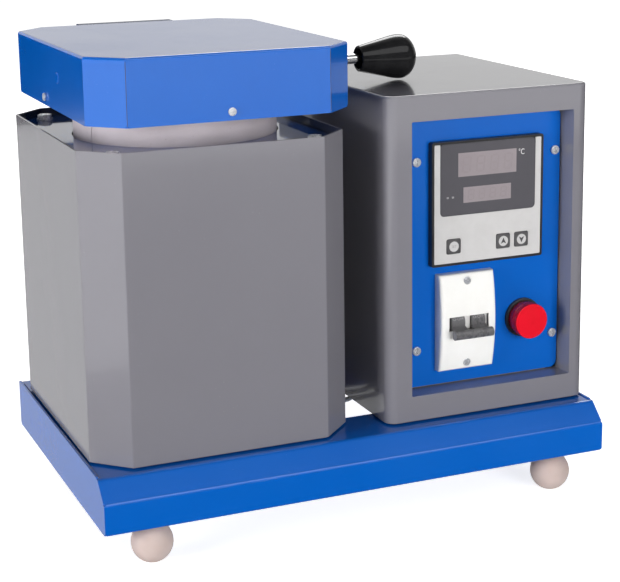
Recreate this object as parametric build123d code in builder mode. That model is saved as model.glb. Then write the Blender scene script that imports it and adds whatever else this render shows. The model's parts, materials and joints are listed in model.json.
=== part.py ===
from build123d import *
import math
import os

os.makedirs("parts", exist_ok=True)

# Sizes in mm. The front faces -Y, +Z is up, and the origin is on the floor,
# midway between the ends of the base and midway between front and back.

# Base tray and feet
base_width = 402.0
base_depth = 257.5
base_height = 36.8
flange_height = 22.7
slope_run = 15.0
return_lip = 30.0
tray_sheet = 1.5
tray_bend = 2.0
slope_bend_low = 3.0
slope_bend_high = 5.0
end_plate = 1.5
end_proud = 0.8
end_step = 3.0
end_round = 3.0
end_back_round = 2.0
end_step_bend = 1.0
end_step_round = 0.6
end_slit = 1.3
end_slit_front = 4.0
end_slit_back = 8.0
relief_radius = 1.4
relief_inset = 0.8
relief_rise = 1.6
foot_height = 30.0
foot_radius = 15.3
foot_inset_x = 38.0
foot_inset_y = 15.3
foot_screw_radius = 2.5
foot_screw_length = 17.0
foot_screw_head = 4.8
foot_screw_head_height = 3.0
window_under_shell = 23.5
window_under_case = 30.4
window_front = 60.0
window_depth = 140.0
window_corner = 8.0

# Cross slots of the screws, as shares of their heads
cross_reach = 1.3
cross_share = 0.3
cross_sink = 0.45

# Furnace shell
hole_gap = 0.1
gap_strip = 1.5
strip_inset = 3.0
shell_left = 3.5
shell_front = 23.0
shell_width = 200.0
shell_depth = 233.0
shell_corner = 25.0
shell_top = 263.8
shell_sheet = 1.5
shell_bend = 1.4
shell_foot_flange = 14.0
housing_screw_radius = 2.0
housing_screw_spread = 60.0
housing_screw_head = 4.0
housing_screw_head_height = 2.4
deck_recess = 6.5
deck_sheet = 1.5
deck_clearance = 0.3
deck_tab = 38.0
deck_tab_sheet = 3.0
deck_bolt_inset_x = 24.0
deck_bolt_inset_y = 20.5
hex_across_flats = 10.0
hex_height = 3.2
deck_bolt_radius = 3.0
deck_bolt_length = 14.0
hex_chamfer = 0.4
washer_radius = 6.4
washer_height = 1.2

# Chamber
chamber_shift = 1.5
collar_radius = 77.0
collar_sunk = 23.8
collar_height = 43.0
collar_seam = 0.6
collar_seam_angle = 20.0
collar_gap = 1.0
collar_round = 1.5
muffle_bore = 46.0
muffle_wall = 6.0
collar_bore_step = 2.5
board_height = 30.0
coil_wire_radius = 1.5
coil_off_muffle = 0.7
coil_lift = 14.2
coil_headroom = 28.0
coil_pitch = 8.0
coil_tail_bend = 8.0
coil_tail_rise = 1.0
clamp_from_wall = 13.0
clamp_half = 5.0
clamp_chamfer = 0.8
terminal_block_inset = 4.0
terminal_block_over = 30.0
terminal_block_round = 2.0
snug_gap = 0.05
insulation_off_coil = 2.8
insulation_gap = 1.0
pocket_width = 24.0
pocket_depth = 44.0
stand_radius = 34.0
stand_height = 6.0
stand_round = 0.8
crucible_top_radius = 38.0
crucible_bottom_radius = 29.0
crucible_height = 118.0
crucible_wall = 7.0
crucible_floor = 10.5
crucible_foot_round = 3.0
crucible_lip_round = 1.5
crucible_bowl_round = 9.0
probe_radius = 2.0
probe_gap = 0.3
probe_short_of_bore = 8.0
probe_flange_radius = 13.0
probe_flange_sheet = 2.5
probe_head_radius = 9.0
probe_head_length = 22.0
probe_head_round = 2.0
probe_turns_down = 3.25

# Lid, its handle and hinge
lid_short_left = 5.9
lid_past_right = 1.7
lid_past_front = 4.1
lid_past_back = 2.1
lid_corner = 23.0
lid_over_collar = 1.8
lid_height = 47.5
lid_sheet = 1.5
lid_bend = 2.0
lid_screw_radius = 1.6
lid_screw_length = 12.0
lid_screw_hole = 14.0
lid_screw_head = 3.0
lid_screw_head_height = 1.8
lid_screw_rise = 6.3
lid_front_screw_shift = 0.3
lid_side_screw_back = 133.8
flap_round = 1.0
strap_bolt_spread = 24.0
strap_bolt_rises = (15.8, 34.8)
lid_plug_gap = 6.5
lid_plug_drop = 10.0
lid_lift = 0.3
rod_radius = 4.0
rod_back = 95.4
rod_rise = 24.6
rod_end_proud = 0.6
knob_from_lid = 40.8
knob_length = 47.6
knob_radius = 17.2
knob_neck_radius = 10.0
knob_crown = 12.6
knob_socket = 26.0
knob_cup_depth = 8.0
knob_cup_lip = 3.0
knob_edge = 0.6
rod_chamfer = 0.5
hinge_shift = 3.2
hinge_behind_lid = 27.9
hinge_pin_rise = 17.8
hinge_pin_radius = 4.0
hinge_running_gap = 0.05
pin_head_length = 3.0
pin_head_round = 1.0
pin_end_chamfer = 0.6
pin_side_gap = 0.3
clip_groove = 0.8
clip_sheet = 1.2
clip_radius = 6.5
clip_gap = 0.1
strap_width = 80.0
strap_sheet = 3.0
strap_ear_radius = 9.0
strap_bottom_rise = 6.8
strap_below_top = 2.2
strap_past_pin = 4.0
post_sheet = 2.5
post_below_lid = 3.2
post_nose = 6.0
post_toe = 7.5
post_width = 73.0
post_drop = 58.8
hinge_bolt_spread = 24.0
hinge_bolt_rises = (12.0, 52.0)
hinge_bolt_radius = 2.5
hinge_bolt_head = 4.6
hinge_bolt_head_height = 3.0

# Control case
case_from_shell = 26.1
case_front = 27.2
case_width = 171.0
case_depth = 213.8
knob_over_case = 0.8
case_sheet = 1.5
case_corner = 8.2
case_bend = 1.6
frame_left = 20.1
frame_right = 13.3
frame_bottom = 19.3
frame_top = 19.7
opening_corner = 1.0
ledge_relief = 10.0
panel_recess = 18.0
panel_sheet = 2.0
panel_gap = 1.0
panel_corner = 6.0
ledge_left = 17.0
ledge_other = 14.0
panel_screw_left = 12.1
panel_screw_right = 6.1
panel_screw_bottom = 29.9
panel_screw_top = 33.6
panel_screw_radius = 1.5
panel_screw_head = 3.5
panel_screw_head_height = 2.2
panel_screw_past = 3.0
cover_inset = 1.5
cover_corner = 3.0
cover_screw_side = 7.5
cover_screw_end = 20.0
ledge_corner = 4.0
back_flange_corner = 3.0
case_back_flange = 13.0
case_floor_strip = 8.0
vent_count = 9
vent_pitch = 9.0
vent_length = 100.0
vent_width = 3.5

# Temperature controller
bezel_size = 96.0
bezel_proud = 6.0
bezel_shift = 1.8
bezel_below_top = 19.1
bezel_corner = 2.0
bezel_skin = 2.2
clamp_width = 6.0
clamp_height = 18.0
clamp_depth = 26.0
clamp_bevel = 1.2
bezel_lap = 2.25
housing_depth = 68.0
housing_wall = 2.0
housing_corner = 1.0
housing_lug_width = 10.0
housing_lug_spread = 24.0
housing_lug_short = 20.0
housing_lug_length = 6.0
cutout_gap = 0.25
bezel_rim = 2.0
face_recess = 1.0
face_sheet = 0.7
face_corner = 1.0
bezel_edge = 0.6
board_behind_bezel = 8.2
board_sheet = 1.6
board_gap = 0.2
switch_size = 6.0
switch_height = 0.8
overlay_strip = 5.0
screen_below_middle = 9.3
screen_round = 3.5
screen_gap = 0.1
module_inset_side = 3.0
module_inset_height = 2.65
key_width = 11.8
key_height = 11.4
key_set_from_side = 18.6
key_down_from_side = 18.8
key_pitch = 15.9
key_from_bottom = 15.0
key_gap = 0.3
key_travel = 0.8
key_proud = 0.4
key_flange = 1.0
key_flange_lap = 1.0
key_rest_gap = 0.1
key_corner = 1.3
key_hole_corner = 1.5
key_round = 0.4
key_stem_radius = 2.0
key_stem_gap = 0.05

# Breaker
plate_right_of_bezel = 5.7
plate_below_bezel = 6.5
plate_width = 47.0
plate_height = 76.2
plate_edge_proud = 7.5
plate_bulge = 4.7
plate_wall = 1.8
plate_round = 2.5
breaker_shift = -0.3
breaker_window_width = 34.6
breaker_window_height = 11.0
breaker_axis_proud = 4.2
drum_radius = 7.6
drum_width = 11.2
drum_spacing = 17.4
bar_reach = 16.5
bar_radius = 3.6
bar_length = 32.6
bar_droop = 24.7
lever_thickness = 2.4
breaker_width = 36.0
breaker_height = 70.0
breaker_depth = 62.0
nose_width = 35.0
nose_height = 42.0
nose_gap = 0.3
nose_before_axis = 4.0
body_behind_panel = 3.0
drum_gap = 0.4
axle_radius = 1.5
axle_length = 33.4
axle_end_gap = 0.3
plate_screw_radius = 1.5
plate_screw_spread = 32.6
plate_screw_length = 10.0
plate_screw_sink = 0.4
plate_screw_head = 2.9
plate_screw_head_height = 1.5
bracket_foot = 6.0
bracket_height = 24.0
bracket_sheet = 1.5

# Pilot lamp
lamp_from_frame = 32.8
lamp_below_plate_middle = 4.9
lamp_radius = 14.0
lamp_proud = 16.0
lamp_rim_radius = 15.4
lamp_rim_proud = 3.0
lamp_body_radius = 11.0
lamp_body_length = 38.0
lamp_rim_round = 1.0
lens_wall = 2.0
lens_round = 3.0
lens_foot_round = 0.4
lamp_lug_spread = 9.0
lamp_lug_sheet = 0.8
lamp_lug_height = 4.8
lamp_lug_length = 7.0
lamp_nut_length = 5.0

# Cable gland
gland_from_case_side = 40.4
gland_rise = 27.7
gland_bore = 4.5
gland_radius = 11.0
gland_thread_radius = 7.9
gland_hex_length = 7.0
gland_length = 24.0
gland_nut_length = 5.0
gland_hex_step = 0.8
gland_thread_past = 3.0
gland_dome = 4.0

# Relay, heat sink and the heater leads
lead_radius = 2.0
lead_off_clamp_middle = 2.4
lead_bend = 10.0
lead_under_deck = 12.0
lead_from_case_side = 20.8
sink_from_case_side = 41.4
sink_length = 70.0
sink_width = 60.0
sink_height = 24.0
sink_plate = 6.0
sink_fin = 2.0
sink_fin_count = 7
relay_length = 58.0
relay_width = 44.0
relay_height = 26.0
relay_round = 2.0

# Places that follow from the sizes
lid_width = shell_width - lid_short_left + lid_past_right
lid_depth = shell_depth + lid_past_front + lid_past_back
pin_from_front = shell_front - lid_past_front + lid_depth + hinge_behind_lid
overall_depth = max(base_depth, pin_from_front + strap_ear_radius)
left_x = -base_width / 2
front_y = -overall_depth / 2
lip_z = foot_height
deck_z = lip_z + base_height
housing_z = deck_z + gap_strip
shell_right_x = left_x + shell_left + shell_width
shell_x = shell_right_x - shell_width / 2
shell_y = front_y + shell_front + shell_depth / 2
shell_top_z = lip_z + shell_top
top_deck_z = shell_top_z - deck_recess
inner_wall_x = shell_x + shell_width / 2 - shell_sheet
clamp_x = inner_wall_x - clamp_from_wall
muffle_radius = muffle_bore + muffle_wall
collar_bore = muffle_bore + collar_bore_step
coil_radius = muffle_radius + coil_off_muffle + coil_wire_radius
insulation_bore = coil_radius + coil_wire_radius + insulation_off_coil
lid_plug_radius = collar_bore - lid_plug_gap
chamber_x = shell_x + chamber_shift
chamber_y = shell_y
board_z = housing_z + shell_sheet
chamber_floor_z = board_z + board_height
collar_z = shell_top_z - collar_sunk
collar_top_z = collar_z + collar_height
lid_left_x = left_x + shell_left + lid_short_left
lid_right_x = lid_left_x + lid_width
lid_front_y = front_y + shell_front - lid_past_front
lid_back_y = lid_front_y + lid_depth
lid_x = (lid_left_x + lid_right_x) / 2
lid_y = (lid_front_y + lid_back_y) / 2
lid_z = collar_top_z - lid_over_collar
lid_top_z = lid_z + lid_height
rod_y = lid_front_y + rod_back
rod_z = lid_z + rod_rise
hinge_x = lid_x + hinge_shift
pin_y = lid_back_y + hinge_behind_lid
pin_z = lid_z + hinge_pin_rise
case_left_x = shell_right_x + case_from_shell
case_x = case_left_x + case_width / 2
case_front_y = front_y + case_front
case_y = case_front_y + case_depth / 2
case_back_y = case_front_y + case_depth
case_top_z = rod_z - knob_radius - knob_over_case
opening_left_x = case_left_x + frame_left
opening_right_x = case_left_x + case_width - frame_right
opening_bottom_z = housing_z + frame_bottom
opening_top_z = case_top_z - frame_top
case_opening_x = (opening_left_x + opening_right_x) / 2
case_opening_z = (opening_bottom_z + opening_top_z) / 2
case_opening_width = opening_right_x - opening_left_x
case_opening_height = opening_top_z - opening_bottom_z
panel_y = case_front_y + panel_recess
panel_back_y = panel_y + panel_sheet
bezel_x = case_opening_x + bezel_shift
bezel_z = opening_top_z - bezel_below_top - bezel_size / 2
bezel_y = panel_y - bezel_proud
plate_left_x = bezel_x - bezel_size / 2 + plate_right_of_bezel
plate_z = bezel_z - bezel_size / 2 - plate_below_bezel - plate_height / 2
breaker_y = panel_y - breaker_axis_proud
breaker_centre_x = plate_left_x + plate_width / 2 + breaker_shift
plate_screw_y = panel_y - plate_edge_proud - plate_screw_sink
plate_screw_places = [
    Location((breaker_centre_x, plate_screw_y, plate_z + side * plate_screw_spread), (90, 0, 0))
    for side in (-1, 1)
]
lamp_centre_x = opening_right_x - lamp_from_frame
lamp_centre_z = plate_z - lamp_below_plate_middle
screw_line = (strip_inset + shell_foot_flange) / 2
housing_screw_points = [
    (x + sx * housing_screw_spread, y + sy * (depth / 2 - screw_line))
    for x, y, depth in ((shell_x, shell_y, shell_depth), (case_x, case_y, case_depth))
    for sx in (-1, 1)
    for sy in (-1, 1)
]
housing_screw_places = [(x, y, housing_z) for x, y in housing_screw_points]


def keep(piece, name):
    """Label a finished piece and write its file."""
    piece.part.label = name
    export_step(piece.part, f"parts/{name}.step")


def drill(places, radius, depth):
    """Cut round holes along the local Z of each place, as deep on both sides of it."""
    with Locations(*places):
        Cylinder(radius, 2 * depth, mode=Mode.SUBTRACT)


def facing_front(y):
    """Plane seen from the front: local x is +X, local y is +Z, normal is -Y."""
    return Plane.XZ.offset(-y)


def octagon(width, depth, corner, inset=0.0, mode=Mode.ADD):
    """Rectangle with its corners cut at 45 degrees, drawn in the open sketch."""
    x = width / 2 - inset
    y = depth / 2 - inset
    cut = corner - inset * (2 - math.sqrt(2))
    half = [(x - cut, -y), (x, cut - y), (x, y - cut), (x - cut, y)]
    other_half = [(-px, -py) for px, py in half]
    Polygon(*half, *other_half, align=None, mode=mode)


def pan_screws(places, head_radius, head_height, shank_radius, shank_length):
    """Cross-slotted screws, each with its head's underside on its place's plane."""
    cross_length = head_radius * cross_reach
    cross_width = head_radius * cross_share
    cross_depth = head_height * 2 * cross_sink
    with BuildPart() as group:
        with Locations(*places):
            Cylinder(head_radius, head_height, align=(Align.CENTER, Align.CENTER, Align.MIN))
        rims = group.faces().filter_by(GeomType.PLANE).edges().filter_by(GeomType.CIRCLE)
        fillet(rims, head_height * 0.3)
        with Locations(*places):
            with Locations((0, 0, head_height)):
                Box(cross_length, cross_width, cross_depth, mode=Mode.SUBTRACT)
                Box(cross_width, cross_length, cross_depth, mode=Mode.SUBTRACT)
            Cylinder(shank_radius, shank_length, align=(Align.CENTER, Align.CENTER, Align.MAX))
    return group


# ---- Base tray: one folded sheet with a sloped front and return lips

tray_half = base_width / 2 - end_plate
back_y = front_y + base_depth
foot_points = [
    (left_x + side * (base_width - 2 * foot_inset_x) + foot_inset_x, y)
    for side in (0, 1)
    for y in (front_y + foot_inset_y, back_y - foot_inset_y)
]
window_left_x = shell_right_x - window_under_shell
window_right_x = case_left_x + window_under_case
window_x = (window_left_x + window_right_x) / 2
window_y = front_y + window_front + window_depth / 2

with BuildPart() as base_tray:
    with BuildSketch(Plane.YZ.offset(-tray_half)):
        with BuildLine():
            FilletPolyline(
                (front_y + return_lip, lip_z),
                (front_y, lip_z),
                (front_y, lip_z + flange_height),
                (front_y + slope_run, deck_z),
                (back_y, deck_z),
                (back_y, lip_z),
                (back_y - return_lip, lip_z),
                radius=[tray_bend, slope_bend_low, slope_bend_high, tray_bend, tray_bend],
            )
            offset(amount=tray_sheet, side=Side.RIGHT)
        make_face()
    extrude(amount=2 * tray_half)
    with BuildSketch(Plane.XY.offset(deck_z)):
        slit_y = front_y + slope_run + end_slit_front
        slit_length = back_y - end_slit_back - slit_y
        with Locations((-tray_half, slit_y), (tray_half - end_slit, slit_y)):
            Rectangle(end_slit, slit_length, align=(Align.MIN, Align.MIN))
        with Locations((window_x, window_y)):
            RectangleRounded(window_right_x - window_left_x, window_depth, window_corner)
    extrude(amount=-2 * tray_sheet, mode=Mode.SUBTRACT)
    drill([(x, y, lip_z) for x, y in foot_points], foot_screw_radius + hole_gap, 2 * tray_sheet)
    drill(housing_screw_places, housing_screw_radius + hole_gap, 2 * (tray_sheet + gap_strip))

# End plates close the tray and stand slightly proud of its deck

for name, start in (("base_end_left", left_x), ("base_end_right", -left_x - end_plate)):
    with BuildPart() as base_end:
        with BuildSketch(Plane.YZ.offset(start)):
            with BuildLine():
                FilletPolyline(
                    (front_y, lip_z),
                    (front_y, lip_z + flange_height),
                    (front_y + slope_run, deck_z),
                    (front_y + slope_run + end_step, deck_z),
                    (front_y + slope_run + end_step + end_proud, deck_z + end_proud),
                    (back_y, deck_z + end_proud),
                    (back_y, lip_z),
                    close=True,
                    radius=[
                        end_round, end_round, end_step_bend, end_step_round, end_step_round,
                        end_back_round, end_round,
                    ],
                )
            make_face()
            with Locations((front_y + relief_inset, lip_z + flange_height + relief_rise)):
                Circle(relief_radius, mode=Mode.SUBTRACT)
        extrude(amount=end_plate)
    keep(base_end, name)

keep(base_tray, "base_tray")

# Ball feet with a small flat above and below, and their screws

foot_flat_angle = math.degrees(math.asin(foot_height / 2 / foot_radius))
with BuildPart() as ball_feet:
    with Locations(*[(x, y, foot_height / 2) for x, y in foot_points]):
        Sphere(foot_radius, arc_size1=-foot_flat_angle, arc_size2=foot_flat_angle)
    drill([(x, y, lip_z) for x, y in foot_points], foot_screw_radius + hole_gap, foot_screw_length)
keep(ball_feet, "ball_feet")

foot_screws = pan_screws(
    [(x, y, lip_z + tray_sheet) for x, y in foot_points],
    foot_screw_head,
    foot_screw_head_height,
    foot_screw_radius,
    foot_screw_length,
)
keep(foot_screws, "foot_screws")

# Dark strips that hold both housings just off the deck

with BuildPart() as shell_gasket:
    with BuildSketch(Plane(origin=(shell_x, shell_y, deck_z))):
        octagon(shell_width, shell_depth, shell_corner, strip_inset)
        octagon(shell_width, shell_depth, shell_corner, shell_foot_flange, mode=Mode.SUBTRACT)
    extrude(amount=gap_strip)
    drill(housing_screw_places, housing_screw_radius + hole_gap, 2 * gap_strip)
keep(shell_gasket, "shell_gasket")

with BuildPart() as case_gasket:
    with BuildSketch(Plane(origin=(case_x, case_y, deck_z))):
        strip_corner = case_corner - strip_inset
        RectangleRounded(case_width - 2 * strip_inset, case_depth - 2 * strip_inset, strip_corner)
        Rectangle(case_width - 2 * shell_foot_flange, case_depth - 2 * shell_foot_flange, mode=Mode.SUBTRACT)
    extrude(amount=gap_strip)
    drill(housing_screw_places, housing_screw_radius + hole_gap, 2 * gap_strip)
keep(case_gasket, "case_gasket")

# ---- Furnace shell: eight-sided tube with a foot flange and corner tabs for the top sheet

deck_bolt_points = [
    (shell_x + sx * (shell_width / 2 - deck_bolt_inset_x), shell_y + sy * (shell_depth / 2 - deck_bolt_inset_y))
    for sx in (-1, 1)
    for sy in (-1, 1)
]
tab_z = top_deck_z - deck_sheet
shell_back_y = shell_y + shell_depth / 2
post_bottom_z = shell_top_z - post_drop
hinge_bolt_points = [
    (hinge_x + side * hinge_bolt_spread, post_bottom_z + rise) for side in (-1, 1) for rise in hinge_bolt_rises
]
coil_z = chamber_floor_z + coil_lift
coil_turns = round((collar_z - coil_headroom - coil_z) / coil_pitch)
probe_z = coil_z + coil_pitch * (coil_turns - probe_turns_down)
probe_place = Location((chamber_x, shell_back_y, probe_z), (-90, 0, 0))

with BuildPart() as furnace_shell:
    with BuildSketch(Plane(origin=(shell_x, shell_y, housing_z))):
        octagon(shell_width, shell_depth, shell_corner)
    extrude(amount=shell_top_z - housing_z)
    fillet(furnace_shell.edges().filter_by(Axis.Z), shell_bend)
    with BuildSketch(Plane(origin=(shell_x, shell_y, housing_z))):
        octagon(shell_width, shell_depth, shell_corner, shell_sheet)
    extrude(amount=shell_top_z - housing_z, mode=Mode.SUBTRACT)
    with BuildSketch(Plane(origin=(shell_x, shell_y, housing_z))):
        octagon(shell_width, shell_depth, shell_corner, shell_sheet / 2)
        octagon(shell_width, shell_depth, shell_corner, shell_foot_flange, mode=Mode.SUBTRACT)
    extrude(amount=shell_sheet)
    with BuildSketch(Plane(origin=(shell_x, shell_y, tab_z))):
        octagon(shell_width, shell_depth, shell_corner, shell_sheet / 2)
        Rectangle(shell_width, shell_depth - 2 * deck_tab, mode=Mode.SUBTRACT)
        Rectangle(shell_width - 2 * deck_tab, shell_depth, mode=Mode.SUBTRACT)
    extrude(amount=-deck_tab_sheet)
    drill([(x, y, tab_z) for x, y in deck_bolt_points], deck_bolt_radius + hole_gap, 2 * deck_tab_sheet)
    drill(housing_screw_places, housing_screw_radius + hole_gap, 2 * shell_sheet)
    back_holes = [Location((x, shell_back_y, z), (90, 0, 0)) for x, z in hinge_bolt_points]
    drill(back_holes, hinge_bolt_radius + hole_gap, 2 * shell_sheet)
    drill([probe_place], probe_radius + probe_gap, 2 * shell_sheet)
keep(furnace_shell, "furnace_shell")

with BuildPart() as furnace_top_deck:
    with BuildSketch(Plane(origin=(shell_x, shell_y, tab_z))):
        octagon(shell_width, shell_depth, shell_corner, shell_sheet + deck_clearance)
    extrude(amount=deck_sheet)
    drill([(chamber_x, chamber_y, tab_z)], collar_radius + collar_gap, 2 * deck_sheet)
    drill([(x, y, tab_z) for x, y in deck_bolt_points], deck_bolt_radius + hole_gap, 2 * deck_sheet)
keep(furnace_top_deck, "furnace_top_deck")

with BuildPart() as deck_washers:
    with Locations(*[(x, y, top_deck_z) for x, y in deck_bolt_points]):
        Cylinder(washer_radius, washer_height, align=(Align.CENTER, Align.CENTER, Align.MIN))
        Cylinder(deck_bolt_radius + hole_gap, 4 * washer_height, mode=Mode.SUBTRACT)
keep(deck_washers, "deck_washers")

with BuildPart() as deck_bolts:
    with BuildSketch(Plane.XY.offset(top_deck_z + washer_height)):
        with Locations(*deck_bolt_points):
            RegularPolygon(hex_across_flats / 2, 6, major_radius=False)
    extrude(amount=hex_height)
    chamfer(deck_bolts.faces().group_by(Axis.Z)[-1].edges(), hex_chamfer)
    with Locations(*[(x, y, top_deck_z + washer_height) for x, y in deck_bolt_points]):
        Cylinder(deck_bolt_radius, deck_bolt_length, align=(Align.CENTER, Align.CENTER, Align.MAX))
keep(deck_bolts, "deck_bolts")

# ---- Chamber: base board, insulation, muffle, heating coil and collar ring

with BuildPart() as insulation_base:
    with BuildSketch(Plane(origin=(shell_x, shell_y, board_z))):
        octagon(shell_width, shell_depth, shell_corner, shell_sheet + insulation_gap)
        with Locations((shell_width / 2 - pocket_width / 2, chamber_y - shell_y)):
            Rectangle(pocket_width, pocket_depth, mode=Mode.SUBTRACT)
    extrude(amount=board_height)
keep(insulation_base, "insulation_base")

coil_height = coil_turns * coil_pitch
lead_ends = [
    (-coil_tail_bend, coil_z - coil_tail_rise),
    (coil_tail_bend, coil_z + coil_height + coil_tail_rise),
]
with BuildPart() as insulation_block:
    with BuildSketch(Plane(origin=(shell_x, shell_y, chamber_floor_z))):
        octagon(shell_width, shell_depth, shell_corner, shell_sheet + insulation_gap)
        with Locations((chamber_x - shell_x, chamber_y - shell_y)):
            Circle(insulation_bore, mode=Mode.SUBTRACT)
        with Locations((shell_width / 2 - pocket_width / 2, chamber_y - shell_y)):
            Rectangle(pocket_width, pocket_depth, mode=Mode.SUBTRACT)
    extrude(amount=collar_z - chamber_floor_z)
    with Locations(*[(chamber_x + muffle_radius, chamber_y + y / 2, z) for y, z in lead_ends]):
        Box(
            shell_width / 4,
            2.4 * coil_tail_bend,
            4 * coil_wire_radius,
            align=(Align.MIN, Align.CENTER, Align.CENTER),
            mode=Mode.SUBTRACT,
        )
    with Locations(Location((chamber_x, chamber_y, probe_z), (-90, 0, 0))):
        Cylinder(
            probe_radius + probe_gap,
            shell_depth,
            align=(Align.CENTER, Align.CENTER, Align.MIN),
            mode=Mode.SUBTRACT,
        )
keep(insulation_block, "insulation_block")

with BuildPart() as muffle:
    with Locations((chamber_x, chamber_y, chamber_floor_z)):
        Cylinder(muffle_radius, collar_z - chamber_floor_z, align=(Align.CENTER, Align.CENTER, Align.MIN))
        Cylinder(
            muffle_bore,
            collar_z - chamber_floor_z,
            align=(Align.CENTER, Align.CENTER, Align.MIN),
            mode=Mode.SUBTRACT,
        )
    with Locations(Location((chamber_x, chamber_y, probe_z), (-90, 0, 0))):
        Cylinder(
            probe_radius + probe_gap,
            shell_depth,
            align=(Align.CENTER, Align.CENTER, Align.MIN),
            mode=Mode.SUBTRACT,
        )
keep(muffle, "muffle")


def coil_point(turn):
    """Point of the coil's centre line after a number of turns."""
    angle = 2 * math.pi * turn
    return Vector(
        chamber_x + coil_radius * math.cos(angle),
        chamber_y + coil_radius * math.sin(angle),
        coil_z + coil_pitch * turn,
    )


def coil_tangent(turn):
    """Unit direction of the coil's centre line after a number of turns."""
    angle = 2 * math.pi * turn
    run = 2 * math.pi * coil_radius
    return Vector(-run * math.sin(angle), run * math.cos(angle), coil_pitch).normalized()


def biarc(start, start_way, end, end_way):
    """Two arcs that join two points, tangent to each other and to both given directions."""
    chord = end - start
    ways = start_way + end_way
    a = 2 * (start_way.dot(end_way) - 1)
    b = -2 * chord.dot(ways)
    c = chord.dot(chord)
    reach = (-b - math.sqrt(b * b - 4 * a * c)) / (2 * a)
    middle = (start + start_way * reach + end - end_way * reach) * 0.5
    first = TangentArc(start, middle, tangent=start_way)
    TangentArc(middle, end, tangent=first % 1)


def least_coil_gap():
    """Least distance between the surfaces of two turns, on points of the centre line."""
    steps = 72
    points = [coil_point(i / steps) for i in range(coil_turns * steps + 1)]
    first = points[0]
    far = points[steps // 2:steps + steps // 2]
    return min((point - first).length for point in far) - 2 * coil_wire_radius


# The coil's ends bend away from the muffle and run straight out to the terminals
tail_x = chamber_x + coil_radius + coil_tail_bend
outward = Vector(1, 0, 0)
tail_in = Vector(tail_x, chamber_y + lead_ends[0][0], lead_ends[0][1])
tail_out = Vector(tail_x, chamber_y + lead_ends[1][0], lead_ends[1][1])
tail_run = outward * (clamp_x - tail_x)
with BuildPart() as heating_coil:
    with BuildLine() as coil_path:
        Line(tail_in + tail_run, tail_in)
        biarc(tail_in, -outward, coil_point(0), coil_tangent(0))
        for step in range(2 * coil_turns):
            biarc(
                coil_point(step / 2),
                coil_tangent(step / 2),
                coil_point((step + 1) / 2),
                coil_tangent((step + 1) / 2),
            )
        biarc(coil_point(coil_turns), coil_tangent(coil_turns), tail_out, outward)
        Line(tail_out, tail_out + tail_run)
    with BuildSketch(Plane(origin=tail_in + tail_run, z_dir=-outward)):
        Circle(coil_wire_radius)
    sweep(path=coil_path.wires()[0])
print("least gap between coil turns", round(least_coil_gap(), 2))
keep(heating_coil, "heating_coil")

# Ceramic strip with two clamps that the coil's ends are screwed into
with BuildPart() as terminal_block:
    with Locations((inner_wall_x, chamber_y, coil_z + coil_height / 2)):
        Box(
            inner_wall_x - clamp_x - clamp_half,
            pocket_depth - terminal_block_inset,
            coil_height + terminal_block_over,
            align=(Align.MAX, Align.CENTER, Align.CENTER),
        )
    fillet(terminal_block.edges().filter_by(Axis.X), terminal_block_round)
keep(terminal_block, "terminal_block")

heater_lead_x = clamp_x - lead_off_clamp_middle
with BuildPart() as coil_terminals:
    with Locations(*[(clamp_x, chamber_y + y, z) for y, z in lead_ends]):
        Box(2 * clamp_half, 2 * clamp_half, 2.4 * clamp_half)
    chamfer(coil_terminals.edges().filter_by(Axis.X), clamp_chamfer)
    with Locations(*[Location((clamp_x, chamber_y + y, z), (0, 90, 0)) for y, z in lead_ends]):
        Cylinder(
            coil_wire_radius + snug_gap,
            2 * clamp_half,
            align=(Align.CENTER, Align.CENTER, Align.MAX),
            mode=Mode.SUBTRACT,
        )
keep(coil_terminals, "coil_terminals")

with BuildPart() as collar_ring:
    with BuildSketch(Plane(origin=(chamber_x, chamber_y, collar_z))):
        Circle(collar_radius)
        Circle(collar_bore, mode=Mode.SUBTRACT)
        Rectangle(3 * collar_radius, collar_seam, rotation=collar_seam_angle, mode=Mode.SUBTRACT)
    extrude(amount=collar_height)
    rims = collar_ring.faces().group_by(Axis.Z)[-1].edges().filter_by(GeomType.CIRCLE)
    fillet(rims, collar_round)
keep(collar_ring, "collar_ring")

with BuildPart() as crucible_stand:
    with Locations((chamber_x, chamber_y, chamber_floor_z)):
        Cylinder(stand_radius, stand_height, align=(Align.CENTER, Align.CENTER, Align.MIN))
    fillet(crucible_stand.edges().filter_by(GeomType.CIRCLE), stand_round)
keep(crucible_stand, "crucible_stand")

crucible_z = chamber_floor_z + stand_height
with BuildPart() as crucible:
    with BuildSketch(Plane(origin=(chamber_x, chamber_y, 0), x_dir=(1, 0, 0), z_dir=(0, -1, 0))):
        with BuildLine():
            FilletPolyline(
                (0, crucible_z),
                (crucible_bottom_radius, crucible_z),
                (crucible_top_radius, crucible_z + crucible_height),
                (crucible_top_radius - crucible_wall, crucible_z + crucible_height),
                (crucible_bottom_radius - crucible_wall, crucible_z + crucible_floor),
                (0, crucible_z + crucible_floor),
                radius=[crucible_foot_round, crucible_lip_round, crucible_lip_round, crucible_bowl_round],
            )
            Line((0, crucible_z + crucible_floor), (0, crucible_z))
        make_face()
    revolve(axis=Axis((chamber_x, chamber_y, 0), (0, 0, 1)))
keep(crucible, "crucible")

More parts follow.
